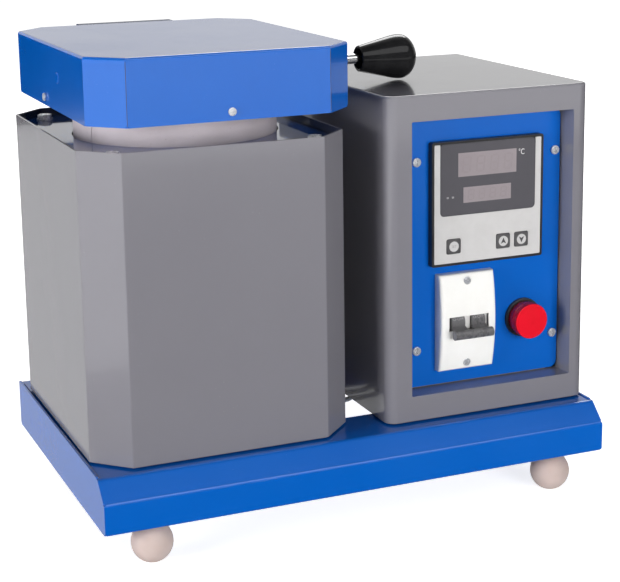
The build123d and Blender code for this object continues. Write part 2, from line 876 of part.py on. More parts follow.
# Thermocouple through the back wall, above the coil
probe_tip_y = chamber_y + muffle_bore - probe_short_of_bore
with BuildPart() as thermocouple:
    with Locations(Location((chamber_x, probe_tip_y, probe_z), (-90, 0, 0))):
        Cylinder(
            probe_radius,
            shell_back_y - probe_tip_y + probe_flange_sheet,
            align=(Align.CENTER, Align.CENTER, Align.MIN),
        )
    with Locations(probe_place):
        Cylinder(probe_flange_radius, probe_flange_sheet, align=(Align.CENTER, Align.CENTER, Align.MIN))
        Cylinder(probe_head_radius, probe_head_length, align=(Align.CENTER, Align.CENTER, Align.MIN))
    fillet(thermocouple.faces().sort_by(Axis.Y)[-1].edges(), probe_head_round)
keep(thermocouple, "thermocouple")

# ---- Lid: folded sheet with separate flaps, over a fibre board with a round plug
lid_side_screw_z = lid_z + lid_screw_rise
side_screw_y = lid_front_y + lid_side_screw_back
front_screw_x = lid_x + lid_front_screw_shift


def lid_corners():
    """The eight upright edges of the lid, as points in plan."""
    x = lid_width / 2
    y = lid_depth / 2
    cut = lid_corner
    return [
        (lid_x + sx * px, lid_y + sy * py)
        for sx in (-1, 1)
        for sy in (-1, 1)
        for px, py in ((x - cut, y), (x, y - cut))
    ]


lid_screw_places = [
    Location((front_screw_x, lid_front_y, lid_side_screw_z), (90, 0, 0)),
    Location((lid_left_x, side_screw_y, lid_side_screw_z), (0, -90, 0)),
    Location((lid_right_x, side_screw_y, lid_side_screw_z), (0, 90, 0)),
]
strap_bolt_places = [
    Location((hinge_x + side * strap_bolt_spread, lid_back_y, z), (-90, 0, 0))
    for side in (-1, 1)
    for z in [lid_z + rise for rise in strap_bolt_rises]
]

with BuildPart() as lid_shell:
    with BuildSketch(Plane(origin=(lid_x, lid_y, lid_z))):
        octagon(lid_width, lid_depth, lid_corner)
    extrude(amount=lid_top_z - lid_z)
    fillet(lid_shell.faces().sort_by(Axis.Z)[-1].edges(), lid_bend)
    with BuildSketch(Plane(origin=(lid_x, lid_y, lid_z))):
        octagon(lid_width, lid_depth, lid_corner, lid_sheet)
    extrude(amount=lid_top_z - lid_z - lid_sheet, mode=Mode.SUBTRACT)
    drill([(x, y, lid_z) for x, y in lid_corners()], flap_round, 1.4 * flap_round)
    drill([Location((lid_x, rod_y, rod_z), (0, 90, 0))], rod_radius + hole_gap, lid_width)
    drill(lid_screw_places + strap_bolt_places, lid_screw_radius + hole_gap, 2 * lid_sheet)
keep(lid_shell, "lid_shell")

with BuildPart() as lid_insulation:
    with BuildSketch(Plane(origin=(lid_x, lid_y, collar_top_z + lid_lift))):
        octagon(lid_width, lid_depth, lid_corner, lid_sheet + insulation_gap)
    extrude(amount=lid_top_z - lid_sheet - collar_top_z - lid_lift)
    with Locations((chamber_x, chamber_y, collar_top_z + lid_lift)):
        Cylinder(lid_plug_radius, lid_plug_drop, align=(Align.CENTER, Align.CENTER, Align.MAX))
    drill([Location((lid_x, rod_y, rod_z), (0, 90, 0))], rod_radius + hole_gap, lid_width)
    drill(lid_screw_places + strap_bolt_places, lid_screw_radius + hole_gap, lid_screw_hole)
keep(lid_insulation, "lid_insulation")

strap_screw_places = [
    Location((place.position.X, lid_back_y + strap_sheet, place.position.Z), (-90, 0, 0))
    for place in strap_bolt_places
]
lid_screws = pan_screws(
    lid_screw_places + strap_screw_places,
    lid_screw_head,
    lid_screw_head_height,
    lid_screw_radius,
    lid_screw_length,
)
keep(lid_screws, "lid_screws")

# Handle: a rod right through the lid, with a tapered knob on its right end
rod_end_x = lid_left_x - rod_end_proud
knob_x = lid_right_x + knob_from_lid
with BuildPart() as handle_rod:
    with Locations(Location((rod_end_x, rod_y, rod_z), (0, 90, 0))):
        Cylinder(rod_radius, knob_x + knob_socket - rod_end_x, align=(Align.CENTER, Align.CENTER, Align.MIN))
    chamfer(handle_rod.edges().filter_by(GeomType.CIRCLE), rod_chamfer)
keep(handle_rod, "handle_rod")

with BuildPart() as handle_knob:
    with BuildSketch(Plane(origin=(knob_x, rod_y, rod_z), x_dir=(1, 0, 0), z_dir=(0, -1, 0))):
        with BuildLine():
            crown_x = knob_length - knob_crown
            taper = (knob_radius - knob_neck_radius) / crown_x
            taper_end = (0.75 * crown_x, knob_neck_radius + 0.84 * taper * crown_x)
            Polyline(
                (knob_socket + rod_chamfer, 0),
                (knob_socket + rod_chamfer, rod_radius + snug_gap),
                (knob_cup_depth, rod_radius + snug_gap),
                (knob_cup_depth, knob_neck_radius - knob_cup_lip),
                (knob_edge, knob_neck_radius - 3 * knob_edge),
                (0, knob_neck_radius - 1.5 * knob_edge),
                (knob_edge, knob_neck_radius),
                taper_end,
            )
            Spline(taper_end, (crown_x, knob_radius), tangents=[(1, 1.1 * taper), (1, 0)])
            EllipticalCenterArc((crown_x, 0), knob_crown, knob_radius, arc_size=90)
            Line((knob_length, 0), (knob_socket + rod_chamfer, 0))
        make_face()
    revolve(axis=Axis((knob_x, rod_y, rod_z), (1, 0, 0)))
keep(handle_knob, "handle_knob")

# Hinge: a folded strap on the lid turns on a pin held by a channel on the shell's back
strap_half = strap_width / 2
post_half = post_width / 2
strap_bottom_z = lid_z + strap_bottom_rise
strap_top_z = lid_top_z - strap_below_top
flange_end_y = pin_y + strap_past_pin
with BuildPart() as hinge_strap:
    with BuildSketch(Plane.YZ.offset(hinge_x - strap_half)):
        Polygon(
            (lid_back_y, strap_bottom_z),
            (lid_back_y, strap_top_z),
            (flange_end_y, strap_top_z),
            (pin_y + strap_ear_radius, pin_z),
            (pin_y, pin_z - strap_ear_radius),
            align=None,
        )
        with Locations((pin_y, pin_z)):
            Circle(strap_ear_radius)
    extrude(amount=strap_width)
    with BuildSketch(Plane.YZ.offset(hinge_x - strap_half + strap_sheet)):
        Polygon(
            (lid_back_y + strap_sheet, strap_bottom_z - strap_ear_radius),
            (lid_back_y + strap_sheet, strap_top_z - strap_sheet),
            (flange_end_y + strap_width, strap_top_z - strap_sheet),
            (flange_end_y + strap_width, strap_bottom_z - 2 * strap_ear_radius),
            align=None,
        )
    extrude(amount=strap_width - 2 * strap_sheet, mode=Mode.SUBTRACT)
    drill(strap_bolt_places, lid_screw_radius + hole_gap, 2 * strap_sheet)
    drill([Location((hinge_x, pin_y, pin_z), (0, 90, 0))], hinge_pin_radius + hinge_running_gap, strap_width)
keep(hinge_strap, "hinge_strap")

with BuildPart() as hinge_post:
    post_top_z = lid_z - post_below_lid
    with BuildSketch(Plane.YZ.offset(hinge_x - post_half)):
        Polygon(
            (shell_back_y, post_bottom_z),
            (shell_back_y, post_top_z),
            (pin_y - post_nose, pin_z + post_nose),
            (pin_y + strap_ear_radius, pin_z),
            (pin_y + post_nose, pin_z - post_nose),
            (shell_back_y + post_toe, post_bottom_z),
            align=None,
        )
        with Locations((pin_y, pin_z)):
            Circle(strap_ear_radius)
    extrude(amount=post_width)
    with BuildSketch(Plane.YZ.offset(hinge_x - post_half + post_sheet)):
        Polygon(
            (shell_back_y + post_sheet, post_bottom_z - post_sheet),
            (shell_back_y + post_sheet, post_top_z),
            (shell_back_y - post_width, post_top_z),
            (shell_back_y - post_width, lid_top_z),
            (shell_back_y + post_width, lid_top_z),
            (shell_back_y + post_width, post_bottom_z - post_sheet),
            align=None,
        )
    extrude(amount=post_width - 2 * post_sheet, mode=Mode.SUBTRACT)
    drill(back_holes, hinge_bolt_radius + hole_gap, 2 * post_sheet)
    drill([Location((hinge_x, pin_y, pin_z), (0, 90, 0))], hinge_pin_radius + hinge_running_gap, post_width)
keep(hinge_post, "hinge_post")

pin_start_x = hinge_x - strap_half - pin_side_gap
pin_end_x = hinge_x + strap_half + pin_side_gap
with BuildPart() as hinge_pin:
    with Locations(Location((pin_start_x, pin_y, pin_z), (0, 90, 0))):
        Cylinder(clip_radius, pin_head_length, align=(Align.CENTER, Align.CENTER, Align.MAX))
        Cylinder(
            hinge_pin_radius,
            pin_end_x - pin_start_x + 3 * clip_sheet,
            align=(Align.CENTER, Align.CENTER, Align.MIN),
        )
    fillet(hinge_pin.faces().sort_by(Axis.X)[0].edges(), pin_head_round)
    chamfer(hinge_pin.faces().sort_by(Axis.X)[-1].edges(), pin_end_chamfer)
    with Locations(Location((pin_end_x, pin_y, pin_z), (0, 90, 0))):
        Cylinder(clip_radius, clip_sheet, align=(Align.CENTER, Align.CENTER, Align.MIN), mode=Mode.SUBTRACT)
        Cylinder(hinge_pin_radius - clip_groove, clip_sheet, align=(Align.CENTER, Align.CENTER, Align.MIN))
keep(hinge_pin, "hinge_pin")

with BuildPart() as hinge_clip:
    with BuildSketch(Plane(origin=(pin_end_x + clip_gap, pin_y, pin_z), z_dir=(1, 0, 0))):
        Circle(clip_radius)
        Circle(hinge_pin_radius - clip_groove + clip_gap, mode=Mode.SUBTRACT)
        with Locations((0, clip_radius)):
            Rectangle(hinge_pin_radius, 2 * clip_radius, mode=Mode.SUBTRACT)
    extrude(amount=clip_sheet - 2 * clip_gap)
keep(hinge_clip, "hinge_clip")

post_screw_places = [Location((x, shell_back_y + post_sheet, z), (-90, 0, 0)) for x, z in hinge_bolt_points]
post_screws = pan_screws(
    post_screw_places,
    hinge_bolt_head,
    hinge_bolt_head_height,
    hinge_bolt_radius,
    post_sheet + shell_sheet,
)
keep(post_screws, "post_screws")

# ---- Control case: rounded sheet box, open at the back, with a deep recess at the front
ledge_y = panel_back_y + case_sheet
recess_corner = opening_corner + case_sheet
floor_window_left = case_left_x + case_floor_strip
floor_window_width = window_right_x - floor_window_left
housing_size = bezel_size - 2 * bezel_lap
panel_screw_points = [
    (x, z)
    for x in (opening_left_x + panel_screw_left, opening_right_x - panel_screw_right)
    for z in (opening_bottom_z + panel_screw_bottom, opening_top_z - panel_screw_top)
]
panel_screw_places = [Location((x, panel_y, z), (90, 0, 0)) for x, z in panel_screw_points]
case_middle_z = (housing_z + case_top_z) / 2
case_height = case_top_z - housing_z
cover_screw_places = [
    Location((case_x + sx * (case_width / 2 - cover_screw_side), case_back_y + case_sheet, z), (-90, 0, 0))
    for sx in (-1, 1)
    for z in (housing_z + cover_screw_end, case_middle_z, case_top_z - cover_screw_end)
]

with BuildPart() as control_case:
    with BuildSketch(Plane(origin=(case_x, case_y, housing_z))) as case_plan:
        Rectangle(case_width, case_depth)
        fillet(case_plan.vertices().group_by(Axis.Y)[0], case_corner)
    extrude(amount=case_height)
    fillet(control_case.faces().sort_by(Axis.Z)[-1].edges().sort_by(Axis.Y)[:-1], case_bend)
    with BuildSketch(Plane(origin=(case_x, case_y, housing_z + case_sheet))) as case_inside:
        with Locations((0, case_sheet / 2)):
            Rectangle(case_width - 2 * case_sheet, case_depth - case_sheet)
        fillet(case_inside.vertices().group_by(Axis.Y)[0], case_corner - case_sheet)
    extrude(amount=case_height - 2 * case_sheet, mode=Mode.SUBTRACT)
    with BuildSketch(facing_front(case_front_y + case_sheet / 2)):
        with Locations((case_opening_x, case_opening_z)):
            RectangleRounded(
                case_opening_width + 2 * case_sheet, case_opening_height + 2 * case_sheet, recess_corner
            )
    extrude(amount=-(ledge_y - case_front_y - case_sheet / 2))
    with BuildSketch(facing_front(case_front_y)):
        with Locations((case_opening_x, case_opening_z)):
            RectangleRounded(case_opening_width, case_opening_height, opening_corner)
    extrude(amount=-(panel_back_y - case_front_y), mode=Mode.SUBTRACT)
    with BuildSketch(facing_front(case_front_y)):
        with Locations((case_opening_x + (ledge_left - ledge_other) / 2, case_opening_z)):
            RectangleRounded(
                case_opening_width - ledge_left - ledge_other,
                case_opening_height - 2 * ledge_other,
                ledge_corner,
            )
    extrude(amount=-(ledge_y - case_front_y + case_sheet), mode=Mode.SUBTRACT)
    with BuildSketch(facing_front(panel_back_y)):
        relief_spread_x = case_opening_width - ledge_relief
        relief_spread_z = case_opening_height - ledge_relief
        with Locations((case_opening_x, case_opening_z)):
            with GridLocations(relief_spread_x, relief_spread_z, 2, 2):
                Rectangle(ledge_relief, ledge_relief)
    extrude(amount=-2 * case_sheet, mode=Mode.SUBTRACT)
    with BuildSketch(facing_front(case_back_y - case_sheet)):
        with Locations((case_x, case_middle_z)):
            Rectangle(case_width - case_sheet, case_height - case_sheet)
            RectangleRounded(
                case_width - 2 * case_back_flange,
                case_height - 2 * case_back_flange,
                back_flange_corner,
                mode=Mode.SUBTRACT,
            )
    extrude(amount=-case_sheet)
    with BuildSketch(Plane.XY.offset(housing_z)):
        with Locations((floor_window_left, chamber_y)):
            Rectangle(floor_window_width, pocket_depth, align=(Align.MIN, Align.CENTER))
    extrude(amount=case_sheet, mode=Mode.SUBTRACT)
    drill(panel_screw_places, panel_screw_radius + hole_gap, panel_sheet + 2 * case_sheet)
    drill(cover_screw_places, panel_screw_radius + hole_gap, 2.5 * case_sheet)
    drill(housing_screw_places, housing_screw_radius + hole_gap, 2 * case_sheet)
keep(control_case, "control_case")

with BuildPart() as front_panel:
    with BuildSketch(facing_front(panel_back_y)):
        with Locations((case_opening_x, case_opening_z)):
            RectangleRounded(
                case_opening_width - 2 * panel_gap,
                case_opening_height - 2 * panel_gap,
                panel_corner,
            )
        with Locations((bezel_x, bezel_z)):
            cutout_size = housing_size + 2 * cutout_gap
            RectangleRounded(cutout_size, cutout_size, housing_corner, mode=Mode.SUBTRACT)
        with Locations((breaker_centre_x, plate_z)):
            Rectangle(nose_width + 2 * nose_gap, nose_height + 2 * nose_gap, mode=Mode.SUBTRACT)
        with Locations((lamp_centre_x, lamp_centre_z)):
            Circle(lamp_body_radius + hole_gap, mode=Mode.SUBTRACT)
    extrude(amount=panel_sheet)
    drill(panel_screw_places, panel_screw_radius + hole_gap, 2 * panel_sheet)
    drill(plate_screw_places, plate_screw_radius + hole_gap, plate_edge_proud + 2 * panel_sheet)
keep(front_panel, "front_panel")

# Rear cover with vent slots and the opening for the cable gland
gland_x = case_left_x + gland_from_case_side
gland_z = housing_z + gland_rise
cover_y = case_back_y + case_sheet
with BuildPart() as rear_cover:
    with BuildSketch(facing_front(cover_y)):
        with Locations((case_x, case_middle_z)):
            RectangleRounded(case_width - 2 * cover_inset, case_height - 2 * cover_inset, cover_corner)
        with Locations((case_x, case_middle_z + case_height / 4)):
            with GridLocations(0, vent_pitch, 1, vent_count):
                SlotOverall(vent_length, vent_width, mode=Mode.SUBTRACT)
        with Locations((gland_x, gland_z)):
            Circle(gland_thread_radius + hole_gap, mode=Mode.SUBTRACT)
    extrude(amount=case_sheet)
    drill(cover_screw_places, panel_screw_radius + hole_gap, 2 * case_sheet)
keep(rear_cover, "rear_cover")

# The same screws hold the front panel and the rear cover
case_screws = pan_screws(
    panel_screw_places + cover_screw_places,
    panel_screw_head,
    panel_screw_head_height,
    panel_screw_radius,
    panel_sheet + case_sheet + panel_screw_past,
)
keep(case_screws, "case_screws")

gland_place = Location((gland_x, cover_y, gland_z), (-90, 0, 0))
with BuildPart() as cable_gland:
    with BuildSketch(Plane(origin=(gland_x, cover_y, gland_z), z_dir=(0, 1, 0))):
        RegularPolygon(gland_radius, 6, major_radius=False)
    extrude(amount=gland_hex_length)
    with Locations(gland_place):
        Cylinder(gland_radius - gland_hex_step, gland_length, align=(Align.CENTER, Align.CENTER, Align.MIN))
        Cylinder(
            gland_thread_radius,
            case_sheet + gland_nut_length + gland_thread_past,
            align=(Align.CENTER, Align.CENTER, Align.MAX),
        )
    fillet(cable_gland.faces().sort_by(Axis.Y)[-1].edges(), gland_dome)
    drill([gland_place], gland_bore, 2 * gland_length)
keep(cable_gland, "cable_gland")

with BuildPart() as gland_nut:
    with BuildSketch(Plane(origin=(gland_x, case_back_y, gland_z), z_dir=(0, -1, 0))):
        RegularPolygon(gland_radius, 6, major_radius=False)
        Circle(gland_thread_radius + snug_gap, mode=Mode.SUBTRACT)
    extrude(amount=gland_nut_length)
keep(gland_nut, "gland_nut")

# ---- Temperature controller: bezel, screen, digits module, board, keys and housing
bezel_skin_back = bezel_y + bezel_skin
board_y = bezel_y + board_behind_bezel
key_z = bezel_z - bezel_size / 2 + key_from_bottom
key_down_x = bezel_x + bezel_size / 2 - key_down_from_side
face_size = bezel_size - 2 * bezel_rim
face_back_y = bezel_y + face_recess
face_top_z = bezel_z + face_size / 2
screen_width = face_size - 2 * overlay_strip
screen_height = face_size / 2 + screen_below_middle
module_width = screen_width - 2 * module_inset_side
module_height = screen_height - 2 * module_inset_height
module_z = face_top_z - screen_height / 2
inner_size = housing_size - 2 * housing_wall
key_holes = [
    (bezel_x - bezel_size / 2 + key_set_from_side, key_z),
    (key_down_x - key_pitch, key_z),
    (key_down_x, key_z),
]

with BuildPart() as controller_bezel:
    with BuildSketch(facing_front(panel_y)):
        with Locations((bezel_x, bezel_z)):
            RectangleRounded(bezel_size, bezel_size, bezel_corner)
    extrude(amount=bezel_proud)
    fillet(controller_bezel.faces().sort_by(Axis.Y)[0].edges(), bezel_edge)
    with BuildSketch(facing_front(panel_y)):
        with Locations((bezel_x, bezel_z)):
            Rectangle(inner_size, inner_size)
    extrude(amount=bezel_proud - bezel_skin, mode=Mode.SUBTRACT)
    with BuildSketch(facing_front(face_back_y)):
        with Locations((bezel_x, bezel_z)):
            RectangleRounded(face_size, face_size, face_corner)
    extrude(amount=2 * face_recess, mode=Mode.SUBTRACT)
    with BuildSketch(facing_front(bezel_skin_back)):
        with Locations((bezel_x, module_z)):
            Rectangle(module_width, module_height)
        with Locations(*key_holes):
            RectangleRounded(key_width + 2 * key_gap, key_height + 2 * key_gap, key_hole_corner)
    extrude(amount=2 * bezel_skin, mode=Mode.SUBTRACT)
keep(controller_bezel, "controller_bezel")

with BuildPart() as controller_face:
    with BuildSketch(facing_front(face_back_y)):
        with Locations((bezel_x, bezel_z)):
            RectangleRounded(face_size - 2 * screen_gap, face_size - 2 * screen_gap, face_corner - screen_gap)
    extrude(amount=face_sheet)
    with BuildSketch(facing_front(face_back_y)) as window_outline:
        with Locations((bezel_x, face_top_z)):
            Rectangle(screen_width, 2 * screen_height)
        fillet(window_outline.vertices().group_by(Axis.Z)[0], screen_round)
        with Locations(*key_holes):
            RectangleRounded(key_width + 2 * key_gap, key_height + 2 * key_gap, key_hole_corner)
    extrude(amount=2 * face_sheet, mode=Mode.SUBTRACT)
keep(controller_face, "controller_face")

with BuildPart() as controller_screen:
    with BuildSketch(facing_front(face_back_y)) as screen_outline:
        with Locations((bezel_x, face_top_z - screen_gap)):
            Rectangle(
                screen_width - 2 * screen_gap,
                screen_height - 2 * screen_gap,
                align=(Align.CENTER, Align.MAX),
            )
        fillet(screen_outline.vertices().group_by(Axis.Z)[0], screen_round - screen_gap)
    extrude(amount=face_sheet)
keep(controller_screen, "controller_screen")

with BuildPart() as digit_module:
    with BuildSketch(facing_front(board_y)):
        with Locations((bezel_x, module_z)):
            Rectangle(module_width - 2 * screen_gap, module_height - 2 * screen_gap)
    extrude(amount=board_y - face_back_y)
keep(digit_module, "digit_module")

with BuildPart() as controller_board:
    with BuildSketch(facing_front(board_y + board_sheet)):
        with Locations((bezel_x, bezel_z)):
            Rectangle(inner_size - 2 * board_gap, inner_size - 2 * board_gap)
    extrude(amount=board_sheet)
    with BuildSketch(facing_front(board_y)):
        with Locations(*key_holes):
            Rectangle(switch_size, switch_size)
    extrude(amount=switch_height)
keep(controller_board, "controller_board")

key_seat_y = bezel_skin_back + key_rest_gap
key_stop_y = board_y - switch_height
for name, place in zip(("key_set", "key_up", "key_down"), key_holes):
    with BuildPart() as key:
        with BuildSketch(facing_front(key_seat_y)):
            with Locations(place):
                RectangleRounded(key_width, key_height, key_corner)
        extrude(amount=key_seat_y - bezel_y + key_proud)
        fillet(key.faces().sort_by(Axis.Y)[0].edges(), key_round)
        with BuildSketch(facing_front(key_seat_y)):
            with Locations(place):
                RectangleRounded(key_width + 2 * key_flange_lap, key_height + 2 * key_flange_lap, key_corner)
        extrude(amount=-key_flange)
        with BuildSketch(facing_front(key_seat_y)):
            with Locations(place):
                Circle(key_stem_radius)
        extrude(amount=-(key_stop_y - key_travel - key_stem_gap - key_seat_y))
    keep(key, name)

with BuildPart() as controller_housing:
    with BuildSketch(facing_front(panel_y)):
        with Locations((bezel_x, bezel_z)):
            RectangleRounded(housing_size, housing_size, housing_corner)
    extrude(amount=-housing_depth)
    with BuildSketch(facing_front(panel_y)):
        with Locations((bezel_x, bezel_z)):
            Rectangle(inner_size, inner_size)
    extrude(amount=-(housing_depth - housing_wall), mode=Mode.SUBTRACT)
    with BuildSketch(facing_front(panel_y + housing_depth)):
        with Locations((bezel_x, bezel_z)):
            with GridLocations(housing_size - housing_lug_spread, 0, 2, 1):
                Rectangle(housing_lug_width, housing_size - housing_lug_short)
    extrude(amount=-housing_lug_length)
keep(controller_housing, "controller_housing")

with BuildPart() as controller_clamps:
    with BuildSketch(facing_front(panel_back_y)):
        with Locations((bezel_x, bezel_z)):
            with GridLocations(housing_size + clamp_width, 0, 2, 1):
                Rectangle(clamp_width, clamp_height)
    extrude(amount=-clamp_depth)
    chamfer(controller_clamps.faces().group_by(Axis.Y)[-1].edges(), clamp_bevel)
keep(controller_clamps, "controller_clamps")

# ---- Breaker: bulged cover plate, body with its nose in the plate, twin toggle with a cross bar
nose_y = breaker_y - nose_before_axis
breaker_body_y = panel_back_y + body_behind_panel
drum_offsets = (-drum_spacing / 2, drum_spacing / 2)
drum_places = [Location((breaker_centre_x + x, breaker_y, plate_z), (0, 90, 0)) for x in drum_offsets]
toggle_place = Location((breaker_centre_x, breaker_y, plate_z), (0, 90, 0))

with BuildPart() as breaker_plate:
    edge_y = panel_y - plate_edge_proud
    with BuildSketch(Plane.YZ.offset(plate_left_x)):
        with BuildLine():
            Polyline(
                (edge_y, plate_z - plate_height / 2),
                (panel_y, plate_z - plate_height / 2),
                (panel_y, plate_z + plate_height / 2),
                (edge_y, plate_z + plate_height / 2),
            )
            ThreePointArc(
                (edge_y, plate_z + plate_height / 2),
                (edge_y - plate_bulge, plate_z),
                (edge_y, plate_z - plate_height / 2),
            )
        make_face()
    extrude(amount=plate_width)
    fillet(breaker_plate.faces().filter_by(GeomType.CYLINDER).edges(), plate_round)
    with BuildSketch(Plane.YZ.offset(plate_left_x + plate_wall)):
        with BuildLine():
            Polyline(
                (edge_y + plate_wall, plate_z - plate_height / 2 + plate_wall),
                (panel_y, plate_z - plate_height / 2 + plate_wall),
                (panel_y, plate_z + plate_height / 2 - plate_wall),
                (edge_y + plate_wall, plate_z + plate_height / 2 - plate_wall),
            )
            ThreePointArc(
                (edge_y + plate_wall, plate_z + plate_height / 2 - plate_wall),
                (edge_y - plate_bulge + plate_wall, plate_z),
                (edge_y + plate_wall, plate_z - plate_height / 2 + plate_wall),
            )
        make_face()
    extrude(amount=plate_width - 2 * plate_wall, mode=Mode.SUBTRACT)
    with Locations((breaker_centre_x, panel_y - plate_edge_proud - plate_bulge, plate_z)):
        Box(breaker_window_width, 4 * plate_wall, breaker_window_height, mode=Mode.SUBTRACT)
    drill(plate_screw_places, plate_screw_radius + hole_gap, 2 * plate_edge_proud)
    with Locations(*plate_screw_places):
        Cylinder(
            plate_screw_head + 2 * hole_gap,
            plate_edge_proud,
            align=(Align.CENTER, Align.CENTER, Align.MIN),
            mode=Mode.SUBTRACT,
        )
keep(breaker_plate, "breaker_plate")

plate_screws = pan_screws(
    plate_screw_places,
    plate_screw_head,
    plate_screw_head_height,
    plate_screw_radius,
    plate_screw_length,
)
keep(plate_screws, "plate_screws")

with BuildPart() as breaker_body:
    with BuildSketch(facing_front(breaker_body_y)):
        with Locations((breaker_centre_x, plate_z)):
            Rectangle(breaker_width, breaker_height)
    extrude(amount=-breaker_depth)
    with BuildSketch(facing_front(breaker_body_y)):
        with Locations((breaker_centre_x, plate_z)):
            Rectangle(nose_width, nose_height)
    extrude(amount=breaker_body_y - nose_y)
    with Locations(*drum_places):
        Cylinder(drum_radius + drum_gap, drum_width + 2 * drum_gap, mode=Mode.SUBTRACT)
    drill([toggle_place], axle_radius + snug_gap, axle_length / 2 + axle_end_gap)
keep(breaker_body, "breaker_body")

with BuildPart() as breaker_toggle:
    with Locations(*drum_places):
        Cylinder(drum_radius, drum_width)
    with Locations(toggle_place):
        Cylinder(axle_radius, axle_length)
    droop = math.radians(bar_droop)
    bar_y = breaker_y - bar_reach * math.cos(droop)
    bar_z = plate_z - bar_reach * math.sin(droop)
    with Locations(Location((breaker_centre_x, bar_y, bar_z), (0, 90, 0))):
        Cylinder(bar_radius, bar_length)
    lever_plane = Plane(
        origin=(breaker_centre_x, breaker_y, plate_z),
        x_dir=(1, 0, 0),
        z_dir=(0, -math.cos(droop), -math.sin(droop)),
    )
    with BuildSketch(lever_plane):
        with Locations(*[(x, 0) for x in drum_offsets]):
            Rectangle(drum_width, lever_thickness)
    extrude(amount=bar_reach)
keep(breaker_toggle, "breaker_toggle")

bracket_half = breaker_width / 2 + bracket_sheet
bracket_back_y = breaker_body_y + breaker_depth
with BuildPart() as breaker_bracket:
    with BuildSketch(Plane.XY.offset(plate_z - bracket_height / 2)):
        Polygon(
            (breaker_centre_x - bracket_half - bracket_foot, panel_back_y),
            (breaker_centre_x + bracket_half + bracket_foot, panel_back_y),
            (breaker_centre_x + bracket_half + bracket_foot, panel_back_y + bracket_sheet),
            (breaker_centre_x + bracket_half, panel_back_y + bracket_sheet),
            (breaker_centre_x + bracket_half, bracket_back_y + bracket_sheet),
            (breaker_centre_x - bracket_half, bracket_back_y + bracket_sheet),
            (breaker_centre_x - bracket_half, panel_back_y + bracket_sheet),
            (breaker_centre_x - bracket_half - bracket_foot, panel_back_y + bracket_sheet),
            align=None,
        )
        with Locations((breaker_centre_x, panel_back_y)):
            Rectangle(
                breaker_width,
                bracket_back_y - panel_back_y,
                align=(Align.CENTER, Align.MIN),
                mode=Mode.SUBTRACT,
            )
    extrude(amount=bracket_height)
keep(breaker_bracket, "breaker_bracket")

# ---- Pilot lamp: rim on the panel, hollow red lens, body and nut behind
lamp_axis = Axis((lamp_centre_x, panel_y, lamp_centre_z), (0, -1, 0))
lamp_plane = Plane(origin=(lamp_centre_x, panel_y, lamp_centre_z), x_dir=(1, 0, 0), z_dir=(0, 0, 1))
with BuildPart() as lamp_rim:
    with BuildSketch(facing_front(panel_y)):
        with Locations((lamp_centre_x, lamp_centre_z)):
            Circle(lamp_rim_radius)
    extrude(amount=lamp_rim_proud)
    fillet(lamp_rim.faces().sort_by(Axis.Y)[0].edges(), lamp_rim_round)
keep(lamp_rim, "lamp_rim")

with BuildPart() as lamp_lens:
    with BuildSketch(lamp_plane):
        with BuildLine():
            FilletPolyline(
                (lamp_radius - lens_wall, -lamp_rim_proud),
                (lamp_radius, -lamp_rim_proud),
                (lamp_radius, -lamp_proud),
                (0, -lamp_proud),
                radius=[lens_foot_round, lens_round],
            )
            Polyline(
                (0, -lamp_proud),
                (0, lens_wall - lamp_proud),
                (lamp_radius - lens_wall, lens_wall - lamp_proud),
                (lamp_radius - lens_wall, -lamp_rim_proud),
            )
        make_face()
    revolve(axis=lamp_axis)
keep(lamp_lens, "lamp_lens")

with BuildPart() as lamp_body:
    with BuildSketch(facing_front(panel_y)):
        with Locations((lamp_centre_x, lamp_centre_z)):
            Circle(lamp_body_radius)
    extrude(amount=-lamp_body_length)
    with BuildSketch(facing_front(panel_y + lamp_body_length)):
        with Locations((lamp_centre_x, lamp_centre_z)):
            with GridLocations(lamp_lug_spread, 0, 2, 1):
                Rectangle(lamp_lug_sheet, lamp_lug_height)
    extrude(amount=-lamp_lug_length)
keep(lamp_body, "lamp_body")

with BuildPart() as lamp_nut:
    with BuildSketch(facing_front(panel_back_y)):
        with Locations((lamp_centre_x, lamp_centre_z)):
            RegularPolygon(lamp_radius, 6, major_radius=False)
            Circle(lamp_body_radius + snug_gap, mode=Mode.SUBTRACT)
    extrude(amount=-lamp_nut_length)
keep(lamp_nut, "lamp_nut")

# ---- Relay on its heat sink, and the leads from it to the coil
case_floor_z = housing_z + case_sheet
sink_x = case_left_x + sink_from_case_side + sink_length / 2
with BuildPart() as heat_sink:
    sink_origin = (sink_x - sink_length / 2, chamber_y, case_floor_z)
    with BuildSketch(Plane(origin=sink_origin, x_dir=(0, 1, 0), z_dir=(1, 0, 0))):
        with Locations((0, sink_height)):
            Rectangle(sink_width, sink_plate, align=(Align.CENTER, Align.MAX))
        fin_pitch = (sink_width - sink_fin) / (sink_fin_count - 1)
        with GridLocations(fin_pitch, 0, sink_fin_count, 1):
            Rectangle(sink_fin, sink_height - sink_plate / 2, align=(Align.CENTER, Align.MIN))
    extrude(amount=sink_length)
keep(heat_sink, "heat_sink")

relay_z = case_floor_z + sink_height
relay_left_x = sink_x - relay_length / 2
lead_z = relay_z + relay_height / 2
with BuildPart() as relay:
    with Locations((sink_x, chamber_y, relay_z)):
        Box(relay_length, relay_width, relay_height, align=(Align.CENTER, Align.CENTER, Align.MIN))
    fillet(relay.edges().filter_by(Axis.Z), relay_round)
keep(relay, "relay")

